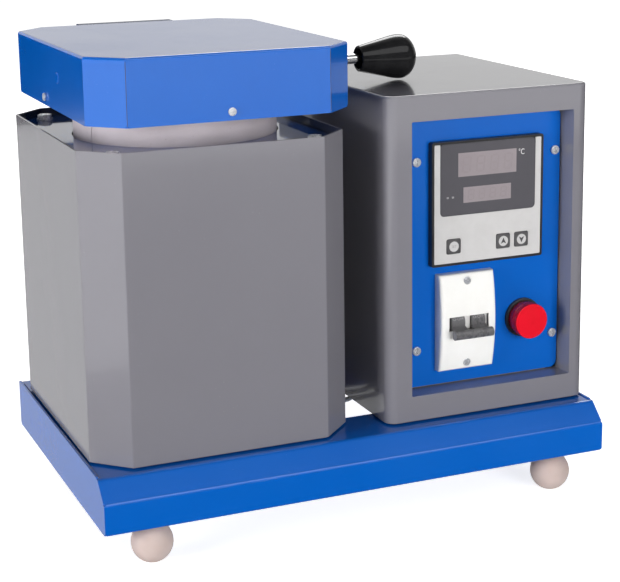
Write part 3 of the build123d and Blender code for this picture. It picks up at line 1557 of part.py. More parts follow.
tray_run_z = deck_z - lead_under_deck
riser_x = case_left_x + lead_from_case_side
with BuildPart() as heater_leads:
    for y, z in lead_ends:
        lead_y = chamber_y + y
        start_z = z - 1.2 * clamp_half
        with BuildLine() as lead_path:
            FilletPolyline(
                (heater_lead_x, lead_y, start_z),
                (heater_lead_x, lead_y, tray_run_z),
                (riser_x, lead_y, tray_run_z),
                (riser_x, lead_y, lead_z),
                (relay_left_x, lead_y, lead_z),
                radius=lead_bend,
            )
        with BuildSketch(Plane(origin=(heater_lead_x, lead_y, start_z), z_dir=(0, 0, -1))):
            Circle(lead_radius)
        sweep(path=lead_path.wires()[0])
keep(heater_leads, "heater_leads")

# Screws up through the deck into both housings
housing_screws = pan_screws(
    [Location((x, y, deck_z - tray_sheet), (180, 0, 0)) for x, y in housing_screw_points],
    housing_screw_head,
    housing_screw_head_height,
    housing_screw_radius,
    tray_sheet + gap_strip + shell_sheet,
)
keep(housing_screws, "housing_screws")
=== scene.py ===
import json
import math

import bmesh
import bpy
import numpy as np
from mathutils import Matrix, Vector


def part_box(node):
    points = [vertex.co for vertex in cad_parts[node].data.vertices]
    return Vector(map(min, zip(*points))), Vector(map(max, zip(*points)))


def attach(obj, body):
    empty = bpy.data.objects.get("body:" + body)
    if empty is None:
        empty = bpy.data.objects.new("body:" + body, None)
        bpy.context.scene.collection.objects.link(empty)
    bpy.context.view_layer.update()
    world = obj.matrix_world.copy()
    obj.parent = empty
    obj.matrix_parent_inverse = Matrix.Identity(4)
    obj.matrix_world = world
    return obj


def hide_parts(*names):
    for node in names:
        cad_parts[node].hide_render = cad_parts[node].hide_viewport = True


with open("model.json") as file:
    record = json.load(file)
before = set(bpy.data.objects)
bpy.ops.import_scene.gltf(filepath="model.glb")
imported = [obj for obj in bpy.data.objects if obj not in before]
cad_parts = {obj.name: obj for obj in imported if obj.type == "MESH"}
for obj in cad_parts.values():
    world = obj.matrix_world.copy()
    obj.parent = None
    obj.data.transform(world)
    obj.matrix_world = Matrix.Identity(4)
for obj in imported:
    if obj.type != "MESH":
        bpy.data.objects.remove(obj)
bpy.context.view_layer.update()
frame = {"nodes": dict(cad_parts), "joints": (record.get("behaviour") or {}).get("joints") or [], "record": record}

slotOf = {part["node"]: part["material_slot"] for part in frame["record"]["subparts"]}
print("frame loaded:", len(frame["nodes"]), "nodes")

mm = 0.001


# node helpers: one call makes a node, sets it and links it

def feed(tree, socket, value):
    # another node's output is linked, and anything else becomes the socket's constant
    if isinstance(value, bpy.types.NodeSocket):
        tree.links.new(value, socket)
    elif socket.type == "RGBA":
        socket.default_value = (*value, 1.0)
    else:
        socket.default_value = value


def addNode(tree, kind, inputs=None, **settings):
    made = tree.nodes.new(kind)
    for name, value in settings.items():
        setattr(made, name, value)
    for name, value in (inputs or {}).items():
        feed(tree, made.inputs[name], value)
    return made


def mixColour(tree, factor, first, second):
    # the mix node's sockets share their names, so they go by place: 6 and 7 are colours, and 2 is their mix
    return addNode(tree, "ShaderNodeMix", {0: factor, 6: first, 7: second}, data_type="RGBA").outputs[2]


def mixValue(tree, factor, first, second):
    return addNode(tree, "ShaderNodeMix", {0: factor, 2: first, 3: second}).outputs[0]


def ramp(tree, value, low, high, lowTo=0.0, highTo=1.0):
    limits = {"From Min": low, "From Max": high, "To Min": lowTo, "To Max": highTo}
    return addNode(tree, "ShaderNodeMapRange", {"Value": value, **limits}).outputs["Result"]


def calculate(tree, operation, first, second):
    return addNode(tree, "ShaderNodeMath", {0: first, 1: second}, operation=operation).outputs[0]


def objectPlace(tree):
    return addNode(tree, "ShaderNodeTexCoord").outputs["Object"]


def noise(tree, place, scale, detail, rough=0.5):
    pattern = {"Vector": place, "Scale": scale, "Detail": detail, "Roughness": rough}
    return addNode(tree, "ShaderNodeTexNoise", pattern).outputs["Fac"]


def voronoi(tree, place, scale):
    return addNode(tree, "ShaderNodeTexVoronoi", {"Vector": place, "Scale": scale}).outputs


def newGroup(name, takes, gives):
    tree = bpy.data.node_groups.new(name, "ShaderNodeTree")
    for label, usual in takes.items():
        socket = tree.interface.new_socket(label, in_out="INPUT", socket_type="NodeSocketFloat")
        socket.default_value = usual
    for label in gives:
        tree.interface.new_socket(label, in_out="OUTPUT", socket_type="NodeSocketFloat")
    return tree, tree.nodes.new("NodeGroupInput").outputs, tree.nodes.new("NodeGroupOutput").inputs


def useGroup(tree, group, **values):
    made = tree.nodes.new("ShaderNodeGroup")
    made.node_tree = group
    for name, value in values.items():
        made.inputs[name].default_value = value
    return made.outputs


# effects that several finishes share: a scale is in patterns for each metre, and a range holds the two
# values of a pattern between which its mask goes from none to full

sprayedCoat = {
    "takes": {"peel": 900.0, "haze": 9.0, "nibs": 240.0},
    "peelDetail": 1.5,
    "hazeDetail": 4.0,
    "hazeRough": 0.6,
    "hazeRange": (0.35, 0.7),
    "nibRange": (0.12, 0.02),
    "rareScale": 60.0,
    "rareRange": (0.62, 0.72),
}


def buildSprayGroup():
    # orange peel of sprayed paint, handling haze in the gloss, and a few dust nibs
    look = sprayedCoat
    tree, take, give = newGroup("sprayedCoat", look["takes"], ("height", "hazeMask", "nibMask"))
    place = objectPlace(tree)
    peel = noise(tree, place, take["peel"], look["peelDetail"])
    haze = noise(tree, place, take["haze"], look["hazeDetail"], look["hazeRough"])
    dots = ramp(tree, voronoi(tree, place, take["nibs"])["Distance"], *look["nibRange"])
    rare = ramp(tree, noise(tree, place, look["rareScale"], 0.0), *look["rareRange"])
    nib = calculate(tree, "MULTIPLY", dots, rare)
    tree.links.new(calculate(tree, "ADD", peel, nib), give["height"])
    tree.links.new(ramp(tree, haze, *look["hazeRange"]), give["hazeMask"])
    tree.links.new(nib, give["nibMask"])
    return tree


pores = {
    "takes": {"grain": 500.0, "pits": 300.0, "specks": 120.0, "rarity": 0.62},
    "grainDetail": 6.0,
    "grainRough": 0.65,
    "broadScale": 28.0,
    "broadDetail": 3.0,
    "broadRange": (0.35, 0.68),
    "pitRange": (0.08, 0.3),
    "speckRange": (0.22, 0.1),
}


def buildPoreGroup():
    # pits and specks of fired clay, board and rubber
    look = pores
    tree, take, give = newGroup("pores", look["takes"], ("height", "grainMask", "speckMask"))
    place = objectPlace(tree)
    grain = noise(tree, place, take["grain"], look["grainDetail"], look["grainRough"])
    broad = noise(tree, place, look["broadScale"], look["broadDetail"])
    pit = ramp(tree, voronoi(tree, place, take["pits"])["Distance"], *look["pitRange"])
    dots = voronoi(tree, place, take["specks"])
    chance = addNode(tree, "ShaderNodeSeparateColor", {"Color": dots["Color"]}).outputs[0]
    chosen = calculate(tree, "GREATER_THAN", chance, take["rarity"])
    speck = calculate(tree, "MULTIPLY", ramp(tree, dots["Distance"], *look["speckRange"]), chosen)
    tree.links.new(calculate(tree, "MULTIPLY", grain, pit), give["height"])
    tree.links.new(ramp(tree, broad, *look["broadRange"]), give["grainMask"])
    tree.links.new(speck, give["speckMask"])
    return tree


drawnLines = {
    "takes": {"across": 1400.0, "along": 40.0, "stain": 30.0},
    "lineDetail": 2.0,
    "stainDetail": 5.0,
    "stainRough": 0.6,
    "stainRange": (0.4, 0.7),
}


def buildBrushGroup():
    # fine lines of drawn or turned metal, with soft stains
    look = drawnLines
    tree, take, give = newGroup("drawnLines", look["takes"], ("height", "stainMask"))
    place = objectPlace(tree)
    parts = addNode(tree, "ShaderNodeSeparateXYZ", {"Vector": place}).outputs
    stretched = addNode(tree, "ShaderNodeCombineXYZ", {
        "X": calculate(tree, "MULTIPLY", parts[0], take["along"]),
        "Y": calculate(tree, "MULTIPLY", parts[1], take["across"]),
        "Z": calculate(tree, "MULTIPLY", parts[2], take["across"])})
    stain = noise(tree, place, take["stain"], look["stainDetail"], look["stainRough"])
    tree.links.new(noise(tree, stretched.outputs[0], 1.0, look["lineDetail"]), give["height"])
    tree.links.new(ramp(tree, stain, *look["stainRange"]), give["stainMask"])
    return tree


mouldSkin = {
    "takes": {"texture": 1800.0, "scuff": 45.0},
    "skinDetail": 2.0,
    "scuffDetail": 5.0,
    "scuffRough": 0.7,
    "scuffRange": (0.42, 0.66),
}


def buildMouldGroup():
    # fine spark texture of a moulding tool, with scuffs in the gloss
    look = mouldSkin
    tree, take, give = newGroup("mouldSkin", look["takes"], ("height", "scuffMask"))
    place = objectPlace(tree)
    scuff = noise(tree, place, take["scuff"], look["scuffDetail"], look["scuffRough"])
    tree.links.new(noise(tree, place, take["texture"], look["skinDetail"]), give["height"])
    tree.links.new(ramp(tree, scuff, *look["scuffRange"]), give["scuffMask"])
    return tree


sprayGroup = buildSprayGroup()
poreGroup = buildPoreGroup()
brushGroup = buildBrushGroup()
mouldGroup = buildMouldGroup()


# finishes

shaderSockets = {
    # a look's plain value: the shader's socket that takes it, and its value where a look doesn't say
    "ior": ("IOR", 1.5),
    "metallic": ("Metallic", 0.0),
    "coat": ("Coat Weight", 0.0),
    "coatRough": ("Coat Roughness", 0.05),
    "sheen": ("Sheen Weight", 0.0),
    "subsurface": ("Subsurface Weight", 0.0),
}
bumpDepth = {"paint": 0.4 * mm, "pores": 0.6 * mm, "metal": 0.2 * mm, "plastic": 0.2 * mm}
scatterReach = (4.0 * mm, 2.0 * mm, 1.5 * mm)


def startMaterial(name, look):
    material = bpy.data.materials.new(name)
    material.use_nodes = True
    shader = material.node_tree.nodes["Principled BSDF"]
    for label, (socket, usual) in shaderSockets.items():
        shader.inputs[socket].default_value = look.get(label, usual)
    return material, material.node_tree, shader


def dressShader(tree, shader, look, body, mask, height, depth):
    # the mask takes the roughness from rough up by roughSpread, and the height tilts the surface's normal
    rough = ramp(tree, mask, 0.0, 1.0, look["rough"], look["rough"] + look["roughSpread"])
    bump = addNode(tree, "ShaderNodeBump", {"Height": height, "Strength": look["bump"], "Distance": depth})
    tree.links.new(body, shader.inputs["Base Color"])
    tree.links.new(rough, shader.inputs["Roughness"])
    tree.links.new(bump.outputs["Normal"], shader.inputs["Normal"])


def paintFinish(name, look):
    material, tree, shader = startMaterial(name, look)
    coat = useGroup(tree, sprayGroup, peel=look["peel"])
    body = mixColour(tree, coat["hazeMask"], look["colour"], look["hazeColour"])
    speckled = mixColour(tree, coat["nibMask"], body, look["nibColour"])
    dressShader(tree, shader, look, speckled, coat["hazeMask"], coat["height"], bumpDepth["paint"])
    return material


def poreFinish(name, look):
    material, tree, shader = startMaterial(name, look)
    shader.inputs["Subsurface Radius"].default_value = scatterReach
    scales = {label: look[label] for label in pores["takes"]}
    clay = useGroup(tree, poreGroup, **scales)
    body = mixColour(tree, clay["grainMask"], look["colour"], look["grainColour"])
    speckled = mixColour(tree, clay["speckMask"], body, look["speckColour"])
    dressShader(tree, shader, look, speckled, clay["grainMask"], clay["height"], bumpDepth["pores"])
    return material


def metalFinish(name, look):
    material, tree, shader = startMaterial(name, look)
    lines = useGroup(tree, brushGroup, across=look["across"], along=look["along"], stain=look["stain"])
    body = mixColour(tree, lines["stainMask"], look["colour"], look["stainColour"])
    dressShader(tree, shader, look, body, lines["stainMask"], lines["height"], bumpDepth["metal"])
    return material


def plasticFinish(name, look):
    material, tree, shader = startMaterial(name, look)
    skin = useGroup(tree, mouldGroup, texture=look["texture"], scuff=look["scuff"])
    body = mixColour(tree, skin["scuffMask"], look["colour"], look["scuffColour"])
    dressShader(tree, shader, look, body, skin["scuffMask"], skin["height"], bumpDepth["plastic"])
    return material


paintLooks = {
    "blue_paint": dict(colour=(0.0, 0.105, 0.49), hazeColour=(0.002, 0.112, 0.50),
                       nibColour=(0.03, 0.15, 0.55), ior=1.45, coat=0.35, coatRough=0.03, rough=0.16,
                       roughSpread=0.05, peel=700.0, bump=0.03),
    "blue_panel": dict(colour=(0.0, 0.105, 0.49), hazeColour=(0.002, 0.112, 0.50),
                       nibColour=(0.03, 0.15, 0.55), ior=1.42, rough=0.2, roughSpread=0.06, peel=700.0,
                       bump=0.03),
    # blue_gloss: a glossier copy of the blue paint, made darker; the darkness is painted shade on the top deck
    "blue_gloss": dict(colour=(0.0, 0.06, 0.30), hazeColour=(0.0, 0.065, 0.31), nibColour=(0.03, 0.12, 0.4),
                       ior=1.5, coat=0.3, coatRough=0.02, rough=0.07, roughSpread=0.03, peel=600.0,
                       bump=0.02),
    "grey_paint": dict(colour=(0.196, 0.191, 0.214), hazeColour=(0.201, 0.196, 0.219),
                       nibColour=(0.26, 0.255, 0.27), ior=1.5, coat=0.35, coatRough=0.03, rough=0.12,
                       roughSpread=0.05, peel=800.0, bump=0.03),
    "dark_steel": dict(colour=(0.004, 0.018, 0.075), hazeColour=(0.006, 0.022, 0.085),
                       nibColour=(0.03, 0.05, 0.12), ior=1.4, rough=0.45, roughSpread=0.1, peel=700.0,
                       bump=0.04),
}
poreLooks = {
    # cream_ceramic: the collar's cream made darker, painted shade from under the lid
    "cream_ceramic": dict(colour=(0.53, 0.48, 0.51), grainColour=(0.46, 0.415, 0.44),
                          speckColour=(0.40, 0.35, 0.35), grain=420.0, pits=700.0, specks=420.0,
                          rarity=0.93, rough=0.55, roughSpread=0.2, bump=0.35),
    "fibre_board": dict(colour=(0.82, 0.77, 0.68), grainColour=(0.72, 0.66, 0.57),
                        speckColour=(0.55, 0.46, 0.36), grain=900.0, pits=900.0, specks=200.0, rarity=0.86,
                        rough=0.85, roughSpread=0.1, bump=0.6, sheen=0.1),
    "foot_rubber": dict(colour=(0.58, 0.47, 0.435), grainColour=(0.50, 0.39, 0.35),
                        speckColour=(0.16, 0.10, 0.08), grain=260.0, pits=340.0, specks=170.0, rarity=0.93,
                        rough=0.42, roughSpread=0.2, bump=0.22, subsurface=0.08),
    "graphite": dict(colour=(0.035, 0.035, 0.038), grainColour=(0.06, 0.06, 0.062),
                     speckColour=(0.12, 0.12, 0.12), grain=800.0, pits=900.0, specks=400.0, rarity=0.8,
                     rough=0.42, roughSpread=0.15, bump=0.3),
    "dark_strip": dict(colour=(0.012, 0.012, 0.015), grainColour=(0.02, 0.02, 0.024),
                       speckColour=(0.05, 0.05, 0.055), grain=900.0, pits=900.0, specks=400.0, rarity=0.9,
                       rough=0.7, roughSpread=0.1, bump=0.3),
    "lead_sleeve": dict(colour=(0.78, 0.76, 0.70), grainColour=(0.66, 0.63, 0.56),
                        speckColour=(0.35, 0.30, 0.24), grain=1500.0, pits=1600.0, specks=500.0, rarity=0.9,
                        rough=0.8, roughSpread=0.1, bump=0.6, sheen=0.2),
}
metalLooks = {
    "zinc_steel": dict(colour=(0.78, 0.79, 0.82), stainColour=(0.55, 0.57, 0.61), metallic=0.55,
                       across=1500.0, along=900.0, stain=220.0, rough=0.22, roughSpread=0.18, bump=0.12),
    "bright_steel": dict(colour=(0.74, 0.745, 0.76), stainColour=(0.62, 0.625, 0.64), metallic=0.75,
                         across=2200.0, along=60.0, stain=60.0, rough=0.12, roughSpread=0.12, bump=0.06),
    "heater_wire": dict(colour=(0.33, 0.30, 0.27), stainColour=(0.2, 0.16, 0.13), metallic=1.0,
                        across=900.0, along=900.0, stain=120.0, rough=0.42, roughSpread=0.2, bump=0.2),
    "brass": dict(colour=(0.74, 0.55, 0.25), stainColour=(0.56, 0.38, 0.15), metallic=0.85, across=1500.0,
                  along=300.0, stain=90.0, rough=0.26, roughSpread=0.15, bump=0.1),
    "raw_aluminium": dict(colour=(0.72, 0.73, 0.75), stainColour=(0.6, 0.61, 0.63), metallic=0.8,
                          across=1600.0, along=30.0, stain=40.0, rough=0.32, roughSpread=0.12, bump=0.12),
}
plasticLooks = {
    "black_knob": dict(colour=(0.012, 0.012, 0.013), scuffColour=(0.02, 0.02, 0.021), texture=500.0,
                       scuff=40.0, rough=0.09, roughSpread=0.06, bump=0.01, ior=1.28),
    "black_plastic": dict(colour=(0.022, 0.022, 0.024), scuffColour=(0.034, 0.034, 0.036), texture=1800.0,
                          scuff=60.0, rough=0.38, roughSpread=0.1, bump=0.12),
    "white_overlay": dict(colour=(0.58, 0.57, 0.565), scuffColour=(0.55, 0.54, 0.535), texture=2400.0,
                          scuff=50.0, rough=0.36, roughSpread=0.08, bump=0.04),
    "smoked_screen": dict(colour=(0.085, 0.082, 0.093), scuffColour=(0.09, 0.086, 0.098), ior=1.4,
                          texture=1500.0, scuff=30.0, rough=0.3, roughSpread=0.06, bump=0.02),
    "grey_key": dict(colour=(0.075, 0.073, 0.076), scuffColour=(0.09, 0.088, 0.09), texture=2200.0,
                     scuff=80.0, rough=0.42, roughSpread=0.08, bump=0.06),
    "green_board": dict(colour=(0.03, 0.19, 0.08), scuffColour=(0.04, 0.22, 0.10), texture=900.0,
                        scuff=90.0, rough=0.4, roughSpread=0.1, bump=0.1),
    "white_plastic": dict(colour=(0.86, 0.855, 0.83), scuffColour=(0.84, 0.83, 0.80), texture=900.0,
                          scuff=40.0, rough=0.2, roughSpread=0.08, bump=0.015),
    "grey_plastic": dict(colour=(0.76, 0.75, 0.735), scuffColour=(0.70, 0.69, 0.675), texture=1800.0,
                         scuff=80.0, rough=0.4, roughSpread=0.1, bump=0.08),
    "grey_toggle": dict(colour=(0.105, 0.103, 0.108), scuffColour=(0.13, 0.128, 0.132), texture=1200.0,
                        scuff=90.0, rough=0.26, roughSpread=0.12, bump=0.04),
    "red_lens": dict(colour=(0.72, 0.008, 0.022), scuffColour=(0.68, 0.008, 0.02), texture=900.0,
                     scuff=60.0, rough=0.18, roughSpread=0.06, bump=0.01, ior=1.22),
    # lens_side: the lens red made darker for the side, partly the lens's own tone and partly painted shade
    "lens_side": dict(colour=(0.27, 0.003, 0.014), scuffColour=(0.24, 0.003, 0.012), texture=900.0,
                      scuff=60.0, rough=0.14, roughSpread=0.06, bump=0.01, ior=1.4),
}


def paintInsideShade(material, centre, dark, inward):
    # faces that look towards the upright line through centre, by more than inward, take the dark colour: painted
    # shade inside the shell
    tree = material.node_tree
    shader = tree.nodes["Principled BSDF"]
    place = addNode(tree, "ShaderNodeTexCoord").outputs
    centreLine = (centre[0], centre[1], 0.0)
    offset = addNode(tree, "ShaderNodeVectorMath", {0: place["Object"], 1: centreLine},
                     operation="SUBTRACT")
    level = addNode(tree, "ShaderNodeVectorMath", {0: offset.outputs[0], 1: (1.0, 1.0, 0.0)},
                    operation="MULTIPLY")
    facing = addNode(tree, "ShaderNodeVectorMath", {0: level.outputs[0], 1: place["Normal"]},
                     operation="DOT_PRODUCT")
    inside = calculate(tree, "LESS_THAN", facing.outputs["Value"], -inward)
    outer = shader.inputs["Base Color"].links[0].from_socket
    tree.links.new(mixColour(tree, inside, outer, dark), shader.inputs["Base Color"])


def paintEnd(material, edge, paint):
    # the rod's end in the lid's left wall, up to edge along X, is painted over with the lid
    tree = material.node_tree
    shader = tree.nodes["Principled BSDF"]
    along = addNode(tree, "ShaderNodeSeparateXYZ", {"Vector": objectPlace(tree)}).outputs[0]
    painted = calculate(tree, "LESS_THAN", along, edge)
    metal = shader.inputs["Base Color"].links[0].from_socket
    tree.links.new(mixColour(tree, painted, metal, paint), shader.inputs["Base Color"])
    tree.links.new(calculate(tree, "SUBTRACT", 1.0, painted), shader.inputs["Metallic"])


finishes = {}
families = ((paintLooks, paintFinish), (poreLooks, poreFinish), (metalLooks, metalFinish),
            (plasticLooks, plasticFinish))
for looks, maker in families:
    for name, look in looks.items():
        finishes[name] = maker(name, look)

for name, cadNode in frame["nodes"].items():
    cadNode.data.materials.clear()
    cadNode.data.materials.append(finishes[slotOf[name]])

# painted shade: the shell's inner walls, shaded under the lid, take a near black colour
shellInsideShade = {"colour": (0.01, 0.016, 0.035), "inward": 2.0 * mm}
shellLow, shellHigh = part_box("furnace_shell")
shellPaintShadedInside = paintFinish("shell_paint_shaded_inside", paintLooks["grey_paint"])
paintInsideShade(shellPaintShadedInside, (shellLow + shellHigh) / 2, shellInsideShade["colour"], shellInsideShade["inward"])
frame["nodes"]["furnace_shell"].data.materials[0] = shellPaintShadedInside

rodPaintedIn = 1.0 * mm
rodSteel = metalFinish("rod_steel", metalLooks["bright_steel"])
paintEnd(rodSteel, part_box("lid_shell")[0].x + rodPaintedIn, paintLooks["blue_paint"]["colour"])
frame["nodes"]["handle_rod"].data.materials[0] = rodSteel
print("finishes:", len(finishes), "and one more each for the shell and the rod")


# surfaces worked out as arrays, in mm; they all look towards the front, -Y

def roundedOutline(width, height, corner, steps):
    # a rectangle with round corners: each point is its corner's centre plus corner times (cos a, sin a)
    angle = (np.arange(4 * steps) + 0.5) / (4 * steps) * 2 * np.pi
    across, up = np.cos(angle), np.sin(angle)
    x = np.sign(across) * (width / 2 - corner) + corner * across
    z = np.sign(up) * (height / 2 - corner) + corner * up
    return np.stack([x, z], axis=1)


def prismArrays(outline, centre, thick):
    # a flat outline of n points carried straight forward by thick
    count = len(outline)
    points = np.empty((2 * count, 3))
    points[:, 0] = centre[0] + np.tile(outline[:, 0], 2)
    points[:, 1] = centre[1] - np.repeat([0.0, thick], count)
    points[:, 2] = centre[2] + np.tile(outline[:, 1], 2)
    first = np.arange(count)
    following = (first + 1) % count
    sides = np.stack([first, following, following + count, first + count], axis=1)
    return points, sides.tolist() + [list(range(count))[::-1], list(range(count, 2 * count))]


def plateArrays(centre, width, height, corner, thick, steps=3):
    # a flat plate with round corners, each of steps points
    return prismArrays(roundedOutline(width, height, corner, steps), centre, thick)


def latheArrays(profile, around):
    # (rise, radius) points turned about the line that points to the front; the first and the last are on it
    rises, radii = profile[1:-1].T
    turn = np.arange(around) / around * 2 * np.pi
    rings = np.empty((len(radii), around, 3))
    rings[..., 0] = radii[:, None] * np.cos(turn)
    rings[..., 1] = -rises[:, None]
    rings[..., 2] = radii[:, None] * np.sin(turn)
    poles = [(0.0, -profile[0, 0], 0.0), (0.0, -profile[-1, 0], 0.0)]
    start, step = np.meshgrid(np.arange(len(radii)) * around, np.arange(around), indexing="ij")
    this, following = start + step, start + (step + 1) % around
    bands = np.stack([this[:-1], following[:-1], following[1:], this[1:]], axis=-1)
    firstPole = np.full(around, this.size)
    opening = np.stack([firstPole, following[0], this[0]], axis=1)
    closing = np.stack([firstPole + 1, this[-1], following[-1]], axis=1)
    faces = opening.tolist() + bands.reshape(-1, 4).tolist() + closing.tolist()
    return np.concatenate([rings.reshape(-1, 3), poles]), faces


def joinArrays(pieces):
    points, faces, start = [], [], 0
    for somePoints, someFaces in pieces:
        points.append(somePoints)
        faces += [[corner + start for corner in face] for face in someFaces]
        start += len(somePoints)
    return np.concatenate(points), faces


def letteringArrays(words, size, thick):
    # text as a solid mesh, lying in x and z about its own middle, front face at y = -thick
    curve = bpy.data.curves.new("lettering", "FONT")
    curve.body = words
    curve.size = size
    curve.align_x, curve.align_y = "CENTER", "CENTER"
    curve.extrude = thick / 2
    curve.resolution_u = 3
    holder = bpy.data.objects.new("lettering", curve)
    bpy.context.scene.collection.objects.link(holder)
    bpy.context.view_layer.update()
    solid = holder.evaluated_get(bpy.context.evaluated_depsgraph_get())
    mesh = bpy.data.meshes.new_from_object(solid)
    points = np.empty(len(mesh.vertices) * 3)
    mesh.vertices.foreach_get("co", points)
    points = points.reshape(-1, 3)
    faces = [list(face.vertices) for face in mesh.polygons]
    bpy.data.objects.remove(holder)
    bpy.data.meshes.remove(mesh)
    bpy.data.curves.remove(curve)
    return np.stack([points[:, 0], -points[:, 2] - thick / 2, points[:, 1]], axis=1), faces


mergeWithin = 0.0001 * mm


def makePiece(name, arrays, origin, material, body, smooth=0.0):
    # the arrays are in mm about origin, which is in metres; edges past smooth degrees stay sharp
    points, faces = arrays
    mesh = bpy.data.meshes.new(name)
    mesh.from_pydata((points * mm + origin).tolist(), [], faces)
    mesh.validate()
    shape = bmesh.new()
    shape.from_mesh(mesh)
    bmesh.ops.remove_doubles(shape, verts=shape.verts, dist=mergeWithin)
    bmesh.ops.recalc_face_normals(shape, faces=shape.faces)
    shape.to_mesh(mesh)
    shape.free()
    if smooth:
        mesh.polygons.foreach_set("use_smooth", np.ones(len(mesh.polygons), bool))
        mesh.set_sharp_from_angle(angle=math.radians(smooth))
    mesh.materials.append(material)
    piece = bpy.data.objects.new(name, mesh)
    bpy.context.scene.collection.objects.link(piece)
    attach(piece, body)
    return piece


# the controller's display windows, their unlit digits, and the legends

displayLooks = {
    "displayPane": dict(colour=(0.295, 0.258, 0.272), scuffColour=(0.28, 0.245, 0.26), texture=1500.0,
                        scuff=70.0, rough=0.34, roughSpread=0.06, bump=0.03),
    "unlitDigit": dict(colour=(0.275, 0.236, 0.251), scuffColour=(0.283, 0.246, 0.26), texture=1500.0,
                       scuff=180.0, rough=0.4, roughSpread=0.08, bump=0.03),
    "paleInk": dict(colour=(0.72, 0.71, 0.71), scuffColour=(0.66, 0.65, 0.65), texture=2200.0, scuff=300.0,
                    rough=0.5, roughSpread=0.1, bump=0.02),
    "greyInk": dict(colour=(0.33, 0.32, 0.33), scuffColour=(0.27, 0.26, 0.27), texture=2200.0, scuff=300.0,
                    rough=0.5, roughSpread=0.1, bump=0.02),
    "keyDisc": dict(colour=(0.56, 0.555, 0.55), scuffColour=(0.52, 0.515, 0.51), texture=2400.0,
                    scuff=120.0, rough=0.4, roughSpread=0.08, bump=0.03),
    "darkInk": dict(colour=(0.055, 0.053, 0.056), scuffColour=(0.07, 0.068, 0.07), texture=2400.0,
                    scuff=200.0, rough=0.45, roughSpread=0.08, bump=0.03),
}
for name, look in displayLooks.items():
    finishes[name] = plasticFinish(name, look)

displays = {
    # places are across and up from the bezel's middle
    "upper": dict(middle=(-0.8, 29.4), width=50.0, height=18.2, digitWidth=7.6, digitHeight=13.0,
                  pitch=11.9, bar=1.5),
    "lower": dict(middle=(-0.8, 6.0), width=41.0, height=12.0, digitWidth=5.6, digitHeight=8.6,
                  pitch=9.3, bar=1.1),
}
pane = {"thick": 0.12, "corner": 0.3}
digit = {
    # corner and gaps are shares of a bar's width, and slant is the lean for each unit of height
    "count": 4, "slant": 0.10, "corner": 0.45, "levelGap": 1.15, "uprightGap": 0.15,
}
degreeMark = {"words": "°C", "size": 6.2, "squeeze": 0.8, "place": (28.6, 35.3)}
outputMark = {"width": 1.9, "height": 1.5, "corner": 0.4, "places": ((-34.6, 5.0), (-30.2, 5.0))}
inkThick = 0.05


def digitArrays(middle, front, width, height, bar):
    # seven rounded bars of one figure eight, leaning by slant for each unit of height
    reachX, reachZ = (width - bar) / 2, (height - bar) / 2
    levelLength = 2 * reachX - digit["levelGap"] * bar
    uprightLength = reachZ - digit["uprightGap"] * bar
    bars = [((0, z), levelLength, bar) for z in (reachZ, 0, -reachZ)]
    bars += [((sx * reachX, sz * reachZ / 2), bar, uprightLength) for sx in (-1, 1) for sz in (-1, 1)]
    corner = bar * digit["corner"]
    points, faces = joinArrays([plateArrays((x, front, z), wide, tall, corner, inkThick)
                                for (x, z), wide, tall in bars])
    points[:, 0] += digit["slant"] * points[:, 2]
    return points + (middle[0], 0.0, middle[1]), faces


def makeDisplays():
    low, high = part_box("controller_bezel")
    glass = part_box("controller_screen")[0].y
    origin = np.array(((low.x + high.x) / 2, glass, (low.z + high.z) / 2))
    for name, look in displays.items():
        x, z = look["middle"]
        glassPane = plateArrays((x, 0.0, z), look["width"], look["height"], pane["corner"], pane["thick"])
        makePiece(name + "Display", glassPane, origin, finishes["displayPane"], "furnace")
        size = look["digitWidth"], look["digitHeight"], look["bar"]
        digits = []
        for place in range(digit["count"]):
            middle = (x + (place - (digit["count"] - 1) / 2) * look["pitch"], z)
            digits.append(digitArrays(middle, -pane["thick"], *size))
        row = joinArrays(digits)
        makePiece(name + "Digits", row, origin, finishes["unlitDigit"], "furnace")
    points, faces = letteringArrays(degreeMark["words"], degreeMark["size"], inkThick)
    across, up = degreeMark["place"]
    points = points * (degreeMark["squeeze"], 1, 1) + (across, 0, up)
    makePiece("degreeMark", (points, faces), origin, finishes["paleInk"], "furnace")
    size = outputMark["width"], outputMark["height"], outputMark["corner"]
    marks = [plateArrays((x, 0.0, z), *size, inkThick) for x, z in outputMark["places"]]
    makePiece("outputMarks", joinArrays(marks), origin, finishes["greyInk"], "furnace")


keyLegends = {
    "key_up": dict(body="up_key", arrow=1),
    "key_down": dict(body="down_key", arrow=-1),
    "key_set": dict(body="set_key", arrow=0),
}
keyDisc = {"radius": 4.0, "corner": 3.996, "steps": 12}  # a plate whose corners are nearly quarter discs
keyWord = {"words": "SET", "size": 2.9, "squeeze": 0.9}
arrowOutline = np.array([(0.0, 2.7), (-2.3, -2.1), (0.0, -0.9), (2.3, -2.1)])


def makeKeyLegends():
    for node, look in keyLegends.items():
        low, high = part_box(node)
        origin = np.array(((low.x + high.x) / 2, low.y, (low.z + high.z) / 2))
        across = 2 * keyDisc["radius"]
        disc = plateArrays((0, 0, 0), across, across, keyDisc["corner"], inkThick, keyDisc["steps"])
        makePiece(node + "Disc", disc, origin, finishes["keyDisc"], look["body"])
        if look["arrow"]:
            arrow = prismArrays(arrowOutline * look["arrow"], (0, -inkThick, 0), inkThick)
            makePiece(node + "Arrow", arrow, origin, finishes["darkInk"], look["body"])
        else:
            points, faces = letteringArrays(keyWord["words"], keyWord["size"], inkThick)
            points = points * (keyWord["squeeze"], 1, 1) - (0, inkThick, 0)
            makePiece(node + "Word", (points, faces), origin, finishes["greyInk"], look["body"])


# pilot lamp: ribbed side, a dark groove and a domed face, in place of the plain lens

